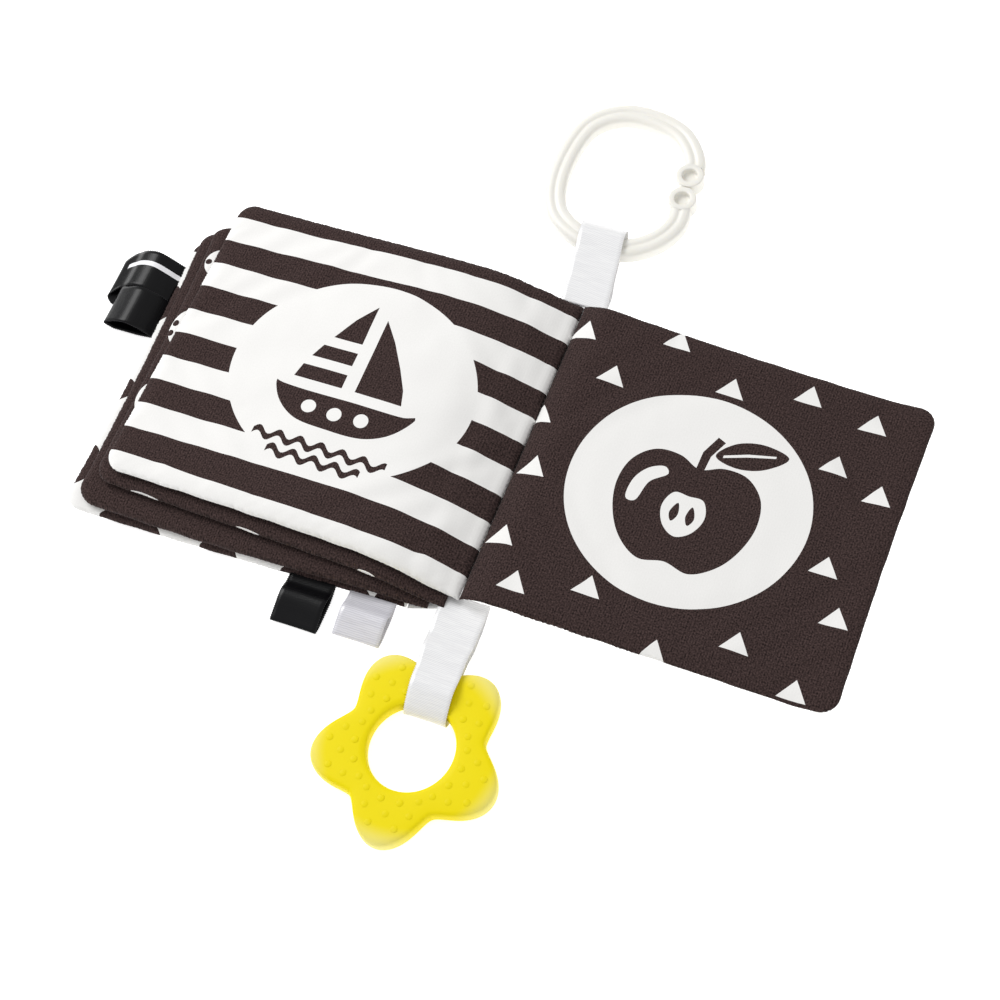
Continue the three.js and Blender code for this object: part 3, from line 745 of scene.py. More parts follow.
def ripple(place, wavelength, seed):  # a sum of sines that doesn't repeat along a page
    dice = np.random.default_rng(seed)
    total = 0
    for _ in range(5):
        stretch, phase = dice.uniform(0.7, 1.5), dice.uniform(0, 2 * math.pi)
        total = total + np.sin(2 * math.pi * place / (wavelength * stretch) + phase)
    return total / 3


def foldAt(u, v, width, side, flips):
    field = folds[side][:: -1 if flips[0] else 1, :: -1 if flips[1] else 1]
    a = np.clip(u / width, 0, 1) * (field.shape[0] - 1)
    b = np.clip(v / book["pageHeight"] + 0.5, 0, 1) * (field.shape[1] - 1)
    i = np.minimum(a.astype(int), field.shape[0] - 2)
    j = np.minimum(b.astype(int), field.shape[1] - 2)
    s, t = a - i, b - j
    near = field[i, j] * (1 - s) * (1 - t) + field[i + 1, j] * s * (1 - t)
    return near + field[i, j + 1] * (1 - s) * t + field[i + 1, j + 1] * s * t


drapeSettings = {
    "pucker": (7.5, 4.5),  # puckers along the seams: their length and how far in they fade
    "waves": (46, 38),  # broad waves, along the page and up it
    "slack": (24, 30),  # slack cloth near the gutter: its length and how far out it fades
    "calm": (6, 10),  # folds start this far in from the seams and from the gutter
    "gather": (0.07, 0.8),  # the dip at each stitch: its depth and how far in it fades
    "sinkReach": 3.0,  # how far out the cloth turns down into the gutter
    "leanReach": 5.0,  # and how far out it leans over it
    "wobble": (0.13, 17, 4),  # the outline's unevenness: how much, its length and how far in it fades
}


# Turns page places (u from the spine, v up the page) into points: side 0 is the upper cloth
def leafPoints(leaf, u, v, side):
    drape, width, seed = drapeSettings, leaf["width"], leaf["seed"]
    edge = np.clip(seamDistance(u, v, width), 0, None)
    power = book["edgePower"]
    swell = (1 - (1 - np.clip(edge / book["edgeRound"], 0, 1)) ** power) ** (1 / power)
    root = np.sqrt(np.clip(1 - (1 - np.clip(u / leaf["rootRound"], 0, 1)) ** 2, 0, 1))
    full = leaf["full"](u)
    sign = 1 if side == 0 else -1
    around = u + v  # runs along every side of the page

    length, fade = drape["pucker"]
    pucker = leaf["pucker"] * ripple(around, length, seed) * np.exp(-edge / fade)
    waves = ripple(u, drape["waves"][0], seed + 1) * ripple(v, drape["waves"][1], seed + 2)
    length, fade = drape["slack"]
    slack = leaf["slack"][side] * ripple(0.5 * u + 0.86 * v, length, seed + 4) * np.exp(-u / fade)
    fold = leaf["folds"][side] * foldAt(u, v, width, side, leaf["flips"])
    calm = ease(edge / drape["calm"][0]) * ease(u / drape["calm"][1])
    arch = leaf["arch"](u) if side == 0 else 0
    uneven = pucker * swell + (fold + leaf["wave"][side] * waves + slack) * calm
    height = sign * full / 2 * swell * root + arch * swell + sign * uneven

    depth, fade = drape["gather"]
    gather = depth * np.sin(2 * math.pi * around / book["seamPitch"]) * np.exp(-edge / fade) * root
    sink = leaf["gutterSink"] * np.clip(1 - u / drape["sinkReach"], 0, 1) ** 2
    z = leaf["middle"](u) + height - leaf["seamDrop"] * full * (1 - swell) + gather - sink

    share = u / width
    across = v / (book["pageHeight"] / 2)
    bow = np.where(v > 0, leaf["headBow"], leaf["footBow"]) * (1 - (2 * share - 1) ** 2)
    amount, length, fade = drape["wobble"]
    wobble = amount * ripple(around, length, seed + 3) * np.exp(-edge / fade)
    nearRim = 12  # wobble moves only the places beside the rim
    along = u - book["drawnIn"] * share * (1 - across**2) + wobble * np.where(edge < nearRim, share**8, 0)
    along = along + leaf["fore"](across) * share**4
    along = along - leaf["gutterReach"] * np.clip(1 - u / drape["leanReach"], 0, 1) ** 2
    up = across * (halfHeightAt(share) - bow) + leaf["lift"](across) * share**3
    up = up + wobble * np.abs(across) ** 8 * np.sign(v) * ease(u / nearRim)
    x, y = leaf["place"](along, up)
    return np.stack([x, y, z], axis=1)


# Print motifs, as outlines on the page

def dense(outline, step=1.5):
    points = []
    for k, a in enumerate(outline):
        b = outline[(k + 1) % len(outline)]
        parts = max(1, math.ceil(math.dist(a, b) / step))
        points += [(a[0] + (b[0] - a[0]) * t / parts, a[1] + (b[1] - a[1]) * t / parts) for t in range(parts)]
    return points


def anticlockwise(outline):  # the cutter floods a face from the left of its border
    x, y = np.array(outline).T
    return outline if np.sum(x * np.roll(y, -1) - y * np.roll(x, -1)) > 0 else outline[::-1]


def disc(centre, radii, steps=110):
    turns = [2 * math.pi * k / steps for k in range(steps)]
    return [(centre[0] + radii[0] * math.cos(t), centre[1] + radii[1] * math.sin(t)) for t in turns]


def rounded(knots, count=60):  # a smooth closed outline through the knots
    return [tuple(p) for p in smoothLine(knots, count, True)[:-1]]


def placed(shapes, centre, turn=1):  # turn is -1 on a page whose u runs to the left
    return [(tone, [(centre[0] + turn * x, centre[1] + y) for x, y in shape]) for tone, shape in shapes]


stripeSettings = {
    "firstBorder": 61.3,
    "pitch": 12.33,
    "count": 11,
    "slope": 0.0113,  # the stripes climb a little towards the spine
    "sag": 1.8,  # how much fuller the lowest stripe is in the middle
    "sagReach": (17, 132),
    "disc": ((74.7, 0.3), (53.3, 46.5)),
}


def stripedPage():  # mirrored: u runs from the spine, so a larger u is further left
    stripe = stripeSettings
    near, far = -5, 165
    rise = (far - near) * stripe["slope"]

    def band(low, top):
        return "dark", [(near, low + rise), (far, low), (far, top), (near, top + rise)]

    border, pitch = stripe["firstBorder"], stripe["pitch"]
    regions = [band(border, 90)]
    for k in range(1, stripe["count"], 2):
        regions.append(band(border - (k + 1) * pitch, border - k * pitch))
    along = np.linspace(*stripe["sagReach"], 30)
    low = border - (stripe["count"] - 1) * pitch + (far - along) * stripe["slope"]
    sag = stripe["sag"] * np.sin(math.pi * np.linspace(0, 1, 30) ** 0.75) ** 0.6
    regions.append(("dark", list(zip(along, low - sag - 0.05)) + list(zip(along, low + 2))[::-1]))
    regions.append(("white", disc(*stripe["disc"])))
    return regions + sailingBoat(stripe["disc"][0])


# A sailing boat on two rows of waves: x runs to the right of the page's reader
def sailingBoat(centre):
    hull = rounded([
        (-30, -9), (-28, -9.6), (0, -10), (28, -9.6), (33, -8), (27, -18), (17, -24), (0, -25.5), (-16, -24),
        (-26, -17),
    ], 90)
    mainSail = [(-2, -5), (-2, 36), (-9, 27), (-17, 14), (-22, 3), (-24, -5)]
    foreSail = [(4, -5), (4, 31), (11, 22), (18, 11), (23, 2), (25, -5)]
    shapes = [("dark", hull), ("dark", mainSail), ("dark", foreSail)]
    for low in (1.5, 12.5):  # pale bands across the main sail
        shapes.append(("white", [(-30, low), (-2, low), (-2, low + 4.6), (-30, low + 4.6)]))
    for porthole in ((-12, -17), (0, -17.6), (12, -17)):
        shapes.append(("white", disc(porthole, (3.2, 3.2), 30)))
    for low, first in ((-33, -30), (-39.5, -21)):
        upper = [(first + k, low + 1.7 * math.sin(k / 9.5 * 2 * math.pi)) for k in range(0, -2 * first + 1)]
        shapes.append(("dark", upper + [(x, y - 3) for x, y in reversed(upper)]))
    return placed(shapes, centre, -1)


triangleSettings = {
    "base": 11.8,
    "height": 8.6,
    "apexes": [  # scattered over the page, all pointing to its head
        (0.6, 20.9), (4.8, 62.3), (43.2, 70.5), (23.1, 45.5), (70.6, 57.0), (101.2, 64.8), (129.3, 60.7),
        (120.6, 37.6), (140.6, 29.7), (130.4, -6.7), (140.6, -26.7), (107.8, -48.8), (78.9, -62.8),
        (134.0, -60.2), (46.4, -45.8), (7.2, -3.7), (6.6, -36.0), (18.4, -53.6),
    ],
    "disc": ((70.9, -1.7), (49.6, 47.2)),
}


def trianglePage():
    half, tall = triangleSettings["base"] / 2, triangleSettings["height"]
    triangle = [("white", [(0, 0), (-half, -tall), (half, -tall)])]
    regions = []
    for x, y in triangleSettings["apexes"]:
        regions += placed(triangle, (x + 0.3, y))
    regions.append(("white", disc(*triangleSettings["disc"])))
    return regions + cutApple(triangleSettings["disc"][0])


# An apple cut through: its leaf, its core and two pips
def cutApple(centre):
    half = [(9, 17.6), (19, 17), (27, 9.5), (29.4, -2), (26.6, -14.5), (20, -25), (10.5, -31)]
    apple = rounded([(0, 14)] + half + [(0, -29)] + [(-x, y) for x, y in reversed(half)], 140)
    shine = rounded([(-19, 8), (-13, 10.5), (-11, 8), (-17, 2), (-20, -8), (-23.5, -8), (-23.5, 1)], 50)
    stalk = [(-1.5, 13), (-1.2, 22), (2.5, 30.5), (6, 29), (2.4, 21), (1.8, 13)]
    leaf = rounded([(4, 22), (10, 30), (21, 33.5), (32, 31), (24, 22.5), (13, 19.5)], 60)
    vein = [(7, 23.4), (16, 27.2), (27, 30.2), (27, 29.2), (16, 25.8), (7, 22.2)]
    core = rounded([(0, 1), (6, 1), (9, -6), (6, -14), (0, -17.5), (-6, -14), (-9, -6), (-6, 1)], 60)
    shapes = [
        ("dark", apple), ("white", shine), ("dark", stalk), ("dark", leaf), ("white", vein), ("white", core),
    ]
    for side in (-1, 1):
        pip = rounded([(side * 3, -3), (side * 5.2, -8), (side * 3.4, -11.5), (side * 1.6, -8)], 24)
        shapes.append(("dark", pip))
    return placed(shapes, centre)


patchSettings = {
    "tries": 300,
    "places": ((14, 136), (-50, 50)),
    "size": (7, 13),
    "wide": (0.75, 1.2),
    "high": (0.65, 1.05),
    "knots": 9,
    "apart": 27,
    "points": 44,
}


# Rounded patches of the cover print: some placed by the photograph at the edges, the rest scattered
def coverPatches(seed, edgePatches=()):
    patch = patchSettings
    dice = np.random.default_rng(seed)
    regions = [("dark", disc(centre, radii, patch["points"])) for centre, radii in edgePatches]
    spots = []
    turns = np.linspace(0, 2 * math.pi, patch["knots"] + 1)[:-1]
    for _ in range(patch["tries"]):
        centre = tuple(dice.uniform(*span) for span in patch["places"])
        size = dice.uniform(*patch["size"])
        knots = []
        for turn in turns:
            wide, high = size * dice.uniform(*patch["wide"]), size * dice.uniform(*patch["high"])
            knots.append((wide * math.cos(turn), high * math.sin(turn)))
        if all(math.dist(centre, spot) > patch["apart"] for spot in spots):
            spots.append(centre)
            regions += placed([("dark", rounded(knots, patch["points"]))], centre)
    return regions


def target(centre, radii):  # rings in turn white and dark
    return [(("white", "dark")[k % 2], disc(centre, (radius, radius), 70)) for k, radius in enumerate(radii)]


# One padded leaf: two printed cloths sewn together at the rim

pageGrid = {
    "outlineStep": 1.15,
    "rimInsets": (0.15, 0.45, 0.9, 1.6, 2.6, 3.9, 5.4, 7.2),  # rows that follow the rim where it curves
    "rimStep": 1.5,
    "gutterRows": (0.15, 0.5, 1.1, 2.0),
    "gridFrom": 3.5,  # from the gutter
    "gridInset": 8.5,  # from the other sides
    "clearance": 0.45,  # of the grid from the prints' borders
    "weld": 0.02,  # places nearer than this are one
}


def pageLine(start, far, side, r, steps):  # from the spine along the foot, the fore edge and the head
    turns = np.linspace(0, math.pi / 2, steps)
    line = [(start, -side), (far - r, -side)]
    line += [(far - r + r * math.sin(t), -side + r - r * math.cos(t)) for t in turns[1:]]
    line += [(far - r + r * math.cos(t), side - r + r * math.sin(t)) for t in turns]
    return line + [(start, side)]


def pageOutline(width):
    return dense(pageLine(0, width, book["pageHeight"] / 2, book["cornerRadius"], 9), pageGrid["outlineStep"])


def loosePoints(width, spacing):
    half = book["pageHeight"] / 2
    points = []
    for inset in pageGrid["rimInsets"]:
        r = max(book["cornerRadius"] - inset, 1.5)
        line = dense(pageLine(0.6, width - inset, half - inset, r, 7), pageGrid["rimStep"])
        points += [p for p in line if p[0] > 0.5]
    for u in pageGrid["gutterRows"]:
        points += [(u, v) for v in np.arange(-half + 1.4, half - 1, spacing)]
    for u in np.arange(pageGrid["gridFrom"], width - pageGrid["gridInset"], spacing):
        points += [(u, v) for v in np.arange(-half + 9, half - pageGrid["gridInset"], spacing)]
    return np.array(points)


# Cuts the regions' borders into the page; each triangle keeps the number of its topmost region
def cutCloth(outline, regions, loose):
    points = [Vector(p) for p in outline]
    faces = [list(range(len(outline)))]
    borders = []
    for _, shape in regions:
        inside = dense(anticlockwise(shape))
        faces.append(list(range(len(points), len(points) + len(inside))))
        points += [Vector(p) for p in inside]
        borders.append(np.array(inside))
    if borders:
        border = np.vstack(borders)
        keep = np.ones(len(loose), bool)
        for chunk in np.array_split(border, max(1, len(border) // 200)):
            gap = np.linalg.norm(loose[:, None] - chunk[None], axis=2)
            keep &= gap.min(axis=1) > pageGrid["clearance"]
        loose = loose[keep]
    points += [Vector(p) for p in loose]
    verts, _, triangles, _, _, origin = delaunay_2d_cdt(points, [], faces, 1, 1e-4)
    kept, slots = [], []
    for triangle, sources in zip(triangles, origin):
        if 0 in sources:
            kept.append(list(triangle))
            slots.append(max(sources))
    return np.array([tuple(p) for p in verts]), kept, slots


def isOnRim(points, width):
    seam = np.abs(seamDistance(points[:, 0], points[:, 1], width)) < pageGrid["weld"]
    return seam | (np.abs(points[:, 0]) < 0.002)


def orderedRim(points, width):  # the points on the outline, round the page
    rim = points[isOnRim(points, width)]
    rim = rim[np.argsort(np.arctan2(rim[:, 1], rim[:, 0] - width / 2))]
    kept = [rim[0]]
    for place in rim[1:]:
        if np.linalg.norm(place - kept[-1]) > pageGrid["weld"]:
            kept.append(place)
    return [tuple(p) for p in kept]


def addLeaf(leaf):
    width = leaf["width"]
    outline = pageOutline(width)
    loose = loosePoints(width, leaf["spacing"])
    first = [cutCloth(outline, prints, loose[:0])[0] for prints in leaf["prints"]]
    shared = orderedRim(np.vstack([np.array(outline)] + first), width)  # the rim that both cloths meet in
    tones = ("dark", "white")
    points, faces, slots, uvs = [], [], [], []
    rimNumber = {}
    for side in (0, 1):
        flat, triangles, regionOf = cutCloth(shared, leaf["prints"][side], loose)
        used = {k for triangle in triangles for k in triangle}
        regionTones = [leaf["grounds"][side]] + [tone for tone, _ in leaf["prints"][side]]
        solid = leafPoints(leaf, flat[:, 0], flat[:, 1], side)
        onRim = isOnRim(flat, width)
        number = []
        for k, (u, v) in enumerate(flat.tolist()):
            key = (round(u, 2), round(v, 2))
            if k not in used:  # a print's own corners beyond the page
                number.append(-1)
            elif onRim[k] and key in rimNumber:
                number.append(rimNumber[key])
            else:
                if onRim[k]:
                    rimNumber[key] = len(points)
                number.append(len(points))
                points.append(solid[k])
                uvs.append((u, v))
        turnOver = (side == 1) != leaf["left"]
        for triangle, region in zip(triangles, regionOf):
            corners = [number[k] for k in triangle]
            if len(set(corners)) == 3:
                faces.append(corners[::-1] if turnOver else corners)
                slots.append(tones.index(regionTones[region]))
    cloth = addMesh(leaf["name"] + "Cloth", points, faces, [darkKnit, whiteKnit], slots, uvs)
    piece = joinedPiece(leaf["name"], [cloth, addSeam(leaf, outline)])
    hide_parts(*leaf["nodes"])
    return piece


def addSeam(leaf, outline):  # the sewing thread round the three closed sides
    rim = np.array([p for p in outline if p[0] > 1.5])
    line = leafPoints(leaf, rim[:, 0], rim[:, 1], 0)
    thickness, length = book["seamStitch"]
    return addThreads(leaf["name"] + "Seam", [line], leaf["thread"], book["seamPitch"], thickness, length)


def stackLeaf(k, **more):
    rootX, rootY = stackLeaves[k]["root"]
    drift, width = stackLeaves[k]["drift"], stackLeaves[k]["width"]
    return {
        "width": width,
        "left": True,
        "place": lambda along, up: (rootX - along, rootY + drift * along / width + up),
        "middle": lambda u: stackMiddle(k, rootX - u),
        "full": lambda u: stackThickness(k, rootX - u),
        "arch": lambda u: 0 * u,
        "rootRound": 1.2,
        "gutterReach": 0.0,
        "gutterSink": 0.0,
        "spacing": 2.6,
        "seed": 20 + k,
        "pucker": 0.12,
        "wave": (0.0, 0.0),
        "slack": (0.0, 0.0),
        "folds": (0.03, 0.03),
        "flips": (k % 2 == 1, k > 1),
        "seamDrop": 0.12,
        "thread": brownThread,
        "headBow": 0.2,  # how far the long edges are drawn in, below nothing when they stand out
        "footBow": 0.2,
        "fore": lambda across: 0.0,  # how far the fore edge stands out, from -1 at the foot to 1 at the head
        "lift": lambda across: 0.0,  # how far its places lie up the page
        **more,
    }


def nodesOf(body, sides, film):
    names = [f"{body}_{side}_panel" for side in sides] + [f"{body}_wadding"]
    return names + ([f"{body}_crinkle_film"] if film else [])


def bendAtSpine(piece):
    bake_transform(piece)


frontCover = stackLeaf(
    0, name="frontCoverPad", nodes=nodesOf("front_cover", ("inner", "outer"), True),
    slot="printed_cover_knit", grounds=("white", "white"), seamDrop=0.05, thread=whiteThread,
    footBow=-0.9, fore=lambda across: 0.5 + 0.5 * across,
    prints=(
        coverPatches(5, [
            ((157, 34.5), (8, 10)), ((156.5, -11.3), (7, 5.8)), ((157, -50), (9, 10.4)),
            ((150, 73), (14, 11)), ((123.3, -71), (14.5, 6)), ((82.6, -71), (8.7, 5)),
            ((35, -71), (20, 6)), ((7, -71), (6.5, 5)),
        ]),
        coverPatches(8, [
            ((157, 34.5), (5, 10)), ((156.5, -11.3), (5, 5.8)), ((157, -50), (5, 10.4)),
            ((123.3, -71), (14.5, 4)), ((82.6, -71), (8.7, 4)),
        ]),
    ),
)
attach(addLeaf(frontCover), "front_cover")

leafOne = stackLeaf(
    1, name="leafOnePad", nodes=nodesOf("leaf_1", ("upper", "lower"), False), slot="dark_print_knit",
    grounds=("dark", "dark"), prints=(target((77, 0), (46, 34, 22, 10)), target((77, 0), (40, 20))),
    footBow=-2.1, fore=lambda across: 1.0 + 1.8 * across,
)
bendAtSpine(addLeaf(leafOne))

dottedDiscs = []
for middle, radius, dots in (
    ((147.2, 44.0), 8.6, ((154.1, 43.6),)),
    ((146.6, 7.0), 11.0, ((155.6, 8.6), (156.0, 3.4))),
    ((147.5, -29.0), 9.4, ()),
):
    dottedDiscs.append(("white", disc(middle, (radius, radius), 50)))
    dottedDiscs += [("dark", disc(dot, (1.5, 1.6), 20)) for dot in dots]
footPatches = [
    ("white", disc(centre, radii, 40))
    for centre, radii in (((133.7, -71.4), (11.7, 1.7)), ((86, -71.2), (9.3, 1.5)), ((33, -71.0), (5.6, 1.4)))
]
leafTwo = stackLeaf(
    2, name="leafTwoPad", nodes=nodesOf("leaf_2", ("upper", "lower"), False), slot="dark_print_knit",
    grounds=("dark", "dark"),
    prints=(dottedDiscs + target((66, 0), (40, 26, 12)) + footPatches, target((66, 0), (30,))),
    footBow=0.3, fore=lambda across: 1.4 + 1.3 * across,
    lift=lambda across: -9.0 * np.clip(across, 0, 1) ** 3,
)
bendAtSpine(addLeaf(leafTwo))

leafThree = stackLeaf(
    3, name="leafThreePad", nodes=nodesOf("leaf_3", ("upper", "lower"), False), slot="striped_knit",
    grounds=("white", "dark"), prints=(stripedPage(), target((77, 0), (36, 24, 12))), thread=blackThread,
    spacing=2.0, pucker=0.16, wave=(0.3, 0.0), slack=(0.2, 0.0), folds=(0.3, 0.03),
    rootRound=2.4, gutterReach=0.75, gutterSink=1.1, footBow=1.7,
    lift=lambda across: 0.5 + 1.0 * np.clip(-across, 0, 1),
    fore=lambda across: -2.5 * np.clip((across + 0.2) / 1.2, 0, 1) ** 1.2,
    arch=lambda u: (
        1.2 * np.exp(-(((u - 14) / 8) ** 2)) + 0.75 * np.exp(-(((u - 66) / 24) ** 2)) - ease((u - 85) / 50)
    ),
)
bendAtSpine(addLeaf(leafThree))

backCover = {
    **leafThree,
    "name": "backCoverPad",
    "nodes": nodesOf("back_cover", ("inner", "outer"), True),
    "slot": "dark_print_knit",
    "width": book["backPageWidth"],
    "left": False,
    "place": lambda along, up: (
        book["backRoot"][0] + along,
        book["backSlide"] + book["backDrift"] * along / book["backPageWidth"] + up,
    ),
    "middle": backMiddle,
    "full": lambda u: fullness(ease(u / book["backSwell"])),
    "arch": lambda u: 0 * u,
    "seed": 40,
    "wave": (0.4, 0.0),
    "slack": (0.45, 0.0),
    "folds": (0.32, 0.05),
    "flips": (False, False),
    "seamDrop": -0.18,
    "thread": whiteThread,
    "headBow": 1.1,
    "footBow": -0.2,
    "lift": lambda across: -0.3 - 1.0 * np.clip(-across, 0, 1) ** 2,
    "fore": lambda across: 0.5 - 0.4 * np.abs(across) ** 3,
    "grounds": ("dark", "white"),
    "prints": (trianglePage(), coverPatches(14, [((37.5, -71), (17, 6)), ((68, -71), (5, 4))])),
}
bendAtSpine(addLeaf(backCover))
print("stage: leaves padded and printed")


# Spine strip: one turn of cover cloth under the gutter

spineSettings = {
    "flatWidth": 16.0, "riseWidth": 6.5, "thickness": 1.2, "curl": 1.25, "gap": 0.3,
    "steps": 30, "rows": 110, "footTrim": 6.5,
    "trimFrom": 0.2, "trimOver": 0.2,  # shares of the climb over which the foot is trimmed
    "crease": 0.15,
}


def addSpineCloth():
    s = spineSettings
    foot = -s["flatWidth"] / 2 + s["gap"]
    bend = s["flatWidth"] / 2 - s["thickness"]
    topX = bend + s["riseWidth"]
    topZ = book["backRoot"][1] - book["seamThickness"] / 2 - s["gap"]
    x = np.linspace(foot, topX, s["steps"] + 1)
    climb = np.clip((x - bend) / s["riseWidth"], 0, 1)
    z = (topZ - s["thickness"]) * climb ** s["curl"]
    half = halfHeightAt(0)
    y = np.linspace(-half, half, s["rows"] + 1)
    points, uvs, faces = [], [], []
    for layer in (1, 0):
        for i in range(len(x)):
            share = (x[i] - foot) / (topX - foot)
            lean = stackLeaves[0]["root"][1] * (1 - share) + book["backSlide"] * share
            trim = s["footTrim"] * float(ease((climb[i] - s["trimFrom"]) / s["trimOver"]))
            for flatV in y:
                v = flatV * (1 - trim / half) if flatV < 0 else flatV
                edge = (half - abs(flatV)) / 2
                thin = s["thickness"] * min(1, math.sqrt(max(edge, 0.02)))  # towards its two ends
                crease = s["crease"] * math.sin(v * 0.9 + i) * climb[i]
                height = z[i] + s["thickness"] / 2 + (layer - 0.5) * thin + crease * layer
                points.append((x[i], v + lean, height))
                uvs.append((x[i], v))
    across = s["rows"] + 1
    sheet = len(x) * across
    for i in range(s["steps"]):
        for j in range(s["rows"]):
            a, b = i * across + j, (i + 1) * across + j
            faces += [(a, b, b + 1, a + 1), (sheet + a, sheet + a + 1, sheet + b + 1, sheet + b)]
    rim = [i * across for i in range(s["steps"])] + [s["steps"] * across + j for j in range(s["rows"])]
    rim += [i * across + s["rows"] for i in range(s["steps"], 0, -1)] + list(range(s["rows"], 0, -1))
    for k, a in enumerate(rim):
        b = rim[(k + 1) % len(rim)]
        faces.append((a, sheet + a, sheet + b, b))
    # the cover cloth here is painted grey for its shade under the gutter
    piece = addMesh("spineCloth", points, faces, [paintedShadeKnit], None, uvs)
    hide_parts("spine_strip")
    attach(piece, "front_cover")


addSpineCloth()
print("stage: spine cloth made")


# Satin ribbons and tags

ribbonSettings = {
    "strapWidth": 20.0,
    "thickness": 0.6,
    "seen": 0.42,  # the woven cloth itself; the CAD band is a little thicker
    "gap": 0.3,
    "steps": 110,
    "lanes": 12,
    "selvedgePitch": 0.95,
    "selvedgeLoop": (0.46, 0.42),  # thickness and length
    "strapSlack": 2.6,
    "foldSlack": 1.9,
    "cup": 0.12,  # how far its edges curl up in the middle of its run
    "waveLength": 15.0,
    "waveEnds": (10.0, 8.0),  # a wave is full this far from the tail and from the fold
    "edgeInset": 0.98,  # its flat faces reach this share of the way to the edge
}


def strapKnots(tail, bar, room, parting):  # parting: how far out and how high the layers part
    r = ribbonSettings
    lay = r["thickness"] / 2
    high, low = bar[1] + room["up"] + lay, bar[1] - room["up"] - lay
    near, bend = bar[0] - room["near"], bar[0] + room["far"] / 2
    split = lay + r["gap"]
    between = tail[0] + (near - tail[0]) * parting[0]
    return [
        (tail[0], tail[1] + split),
        (between, tail[1] + split + (high - tail[1] - split) * parting[1]),
        (near, high),
        (bend, high),
        (bar[0] + room["far"] + lay, bar[1]),
        (bend, low),
        (near, low),
        (between, tail[1] - split + (low - tail[1] + split) * parting[1]),
        (tail[0], tail[1] - split),
    ]


# A band swept along its line, whose places are outward and up; slide is how far it moves sideways
def addRibbon(ribbon):
    r = ribbonSettings
    outward, place, floor, width = ribbon["outward"], ribbon["place"], ribbon["floor"], ribbon["width"]
    line = smoothLine(ribbon["knots"], r["steps"])
    reach = float(line[:, 0].max())
    tail, fold = r["waveEnds"]
    free = np.clip(line[:, 0] / tail, 0, 1) * np.clip((reach - line[:, 0]) / fold, 0, 1)
    line[:, 1] += ribbon.get("wave", 0.0) * free * np.sin(2 * math.pi * line[:, 0] / r["waveLength"])
    line[:, 1] = np.maximum(line[:, 1], floor + r["thickness"] / 2)
    along = headings(line)
    normal = np.stack([-along[:, 1], along[:, 0]], axis=1)
    run = runLengths(line)
    half, lanes, t = width / 2, r["lanes"], r["seen"] / 2
    section = [(half * r["edgeInset"] * (2 * k / lanes - 1), 1) for k in range(lanes + 1)]
    section += [(half, 0)] + [(-w, -1) for w, _ in section] + [(-half, 0)]
    side = (outward[1], -outward[0])
    points, uvs = [], []
    for k in range(len(line)):
        cup = r["cup"] * math.sin(math.pi * k / r["steps"])
        slide = ribbon["slide"](line[k, 0], k / r["steps"])
        narrow = 1 - ribbon.get("narrowing", 0.0) * float(ease(line[k, 0] / reach))
        for w, layer in section:
            lift = layer * t + cup * (w / half) ** 2
            out = line[k, 0] + normal[k, 0] * lift
            up = max(line[k, 1] + normal[k, 1] * lift, floor + 0.02)
            lateral = w * narrow + slide
            x, y = [place[axis] + outward[axis] * out + side[axis] * lateral for axis in (0, 1)]
            points.append((x, y, place[2] + up))
            uvs.append((run[k], w))
    n = len(section)
    piece = addBar(ribbon["name"], points, n, ribbon["cloth"], uvs=uvs)
    lines = [points[lanes + 1 :: n], points[n - 1 :: n]]  # the two edges
    loops = addThreads(
        ribbon["name"] + "Selvedge", lines, ribbon["thread"], r["selvedgePitch"], *r["selvedgeLoop"]
    )
    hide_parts(ribbon["node"])
    for part in (piece, loops):
        if "bend" in ribbon:
            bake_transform(part)
        else:
            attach(part, "front_cover")


headSeam = book["backSlide"] + halfHeightAt(0)
footSeam = stackLeaves[2]["root"][1] - halfHeightAt(0)
clipRibbonSettings = {"lean": 8.1, "place": 12.4, "underLean": 1.4}
ringSettings = {
    "length": 77.4, "width": 68.4, "barWidth": 9.2, "barDepth": 7.6,
    "grooveDepth": 0.55, "grooveWidth": 1.9,
    "bossRadius": 6.1, "bossHole": 3.3, "bossDepth": 2.6, "bossGap": 0.6, "bossOverlap": 1.2,
    "centre": (8.5, 142.5), "bed": 0.6, "steps": 170, "sharpAngle": 50,
    "shares": [  # from the upper boss round to the lower one, as shares of its half width and half length
        (0.81, 0.26), (0.81, 0.47), (0.47, 0.85), (-0.06, 1), (-0.52, 0.96), (-0.89, 0.72),
        (-1.03, 0.36), (-1.03, -0.3), (-0.83, -0.72), (-0.42, -0.95), (-0.05, -1), (0.32, -0.99),
        (0.68, -0.79), (0.88, -0.47), (0.84, -0.1),
    ],
}
ring = ringSettings
ringMiddle = ring["bed"] + ring["barDepth"] / 2
ringHalf = ((ring["width"] - ring["barWidth"]) / 2, (ring["length"] - ring["barWidth"]) / 2)


asideShares = ((0.53, 0.12), (0.72, 0.2))  # along a strap: where its lower layer moves aside and back


def bulge(share):  # the lower layer lies a little to the side, but not at its tail
    (out, outOver), (back, backOver) = asideShares
    return float(ease((share - out) / outOver) - ease((share - back) / backOver))


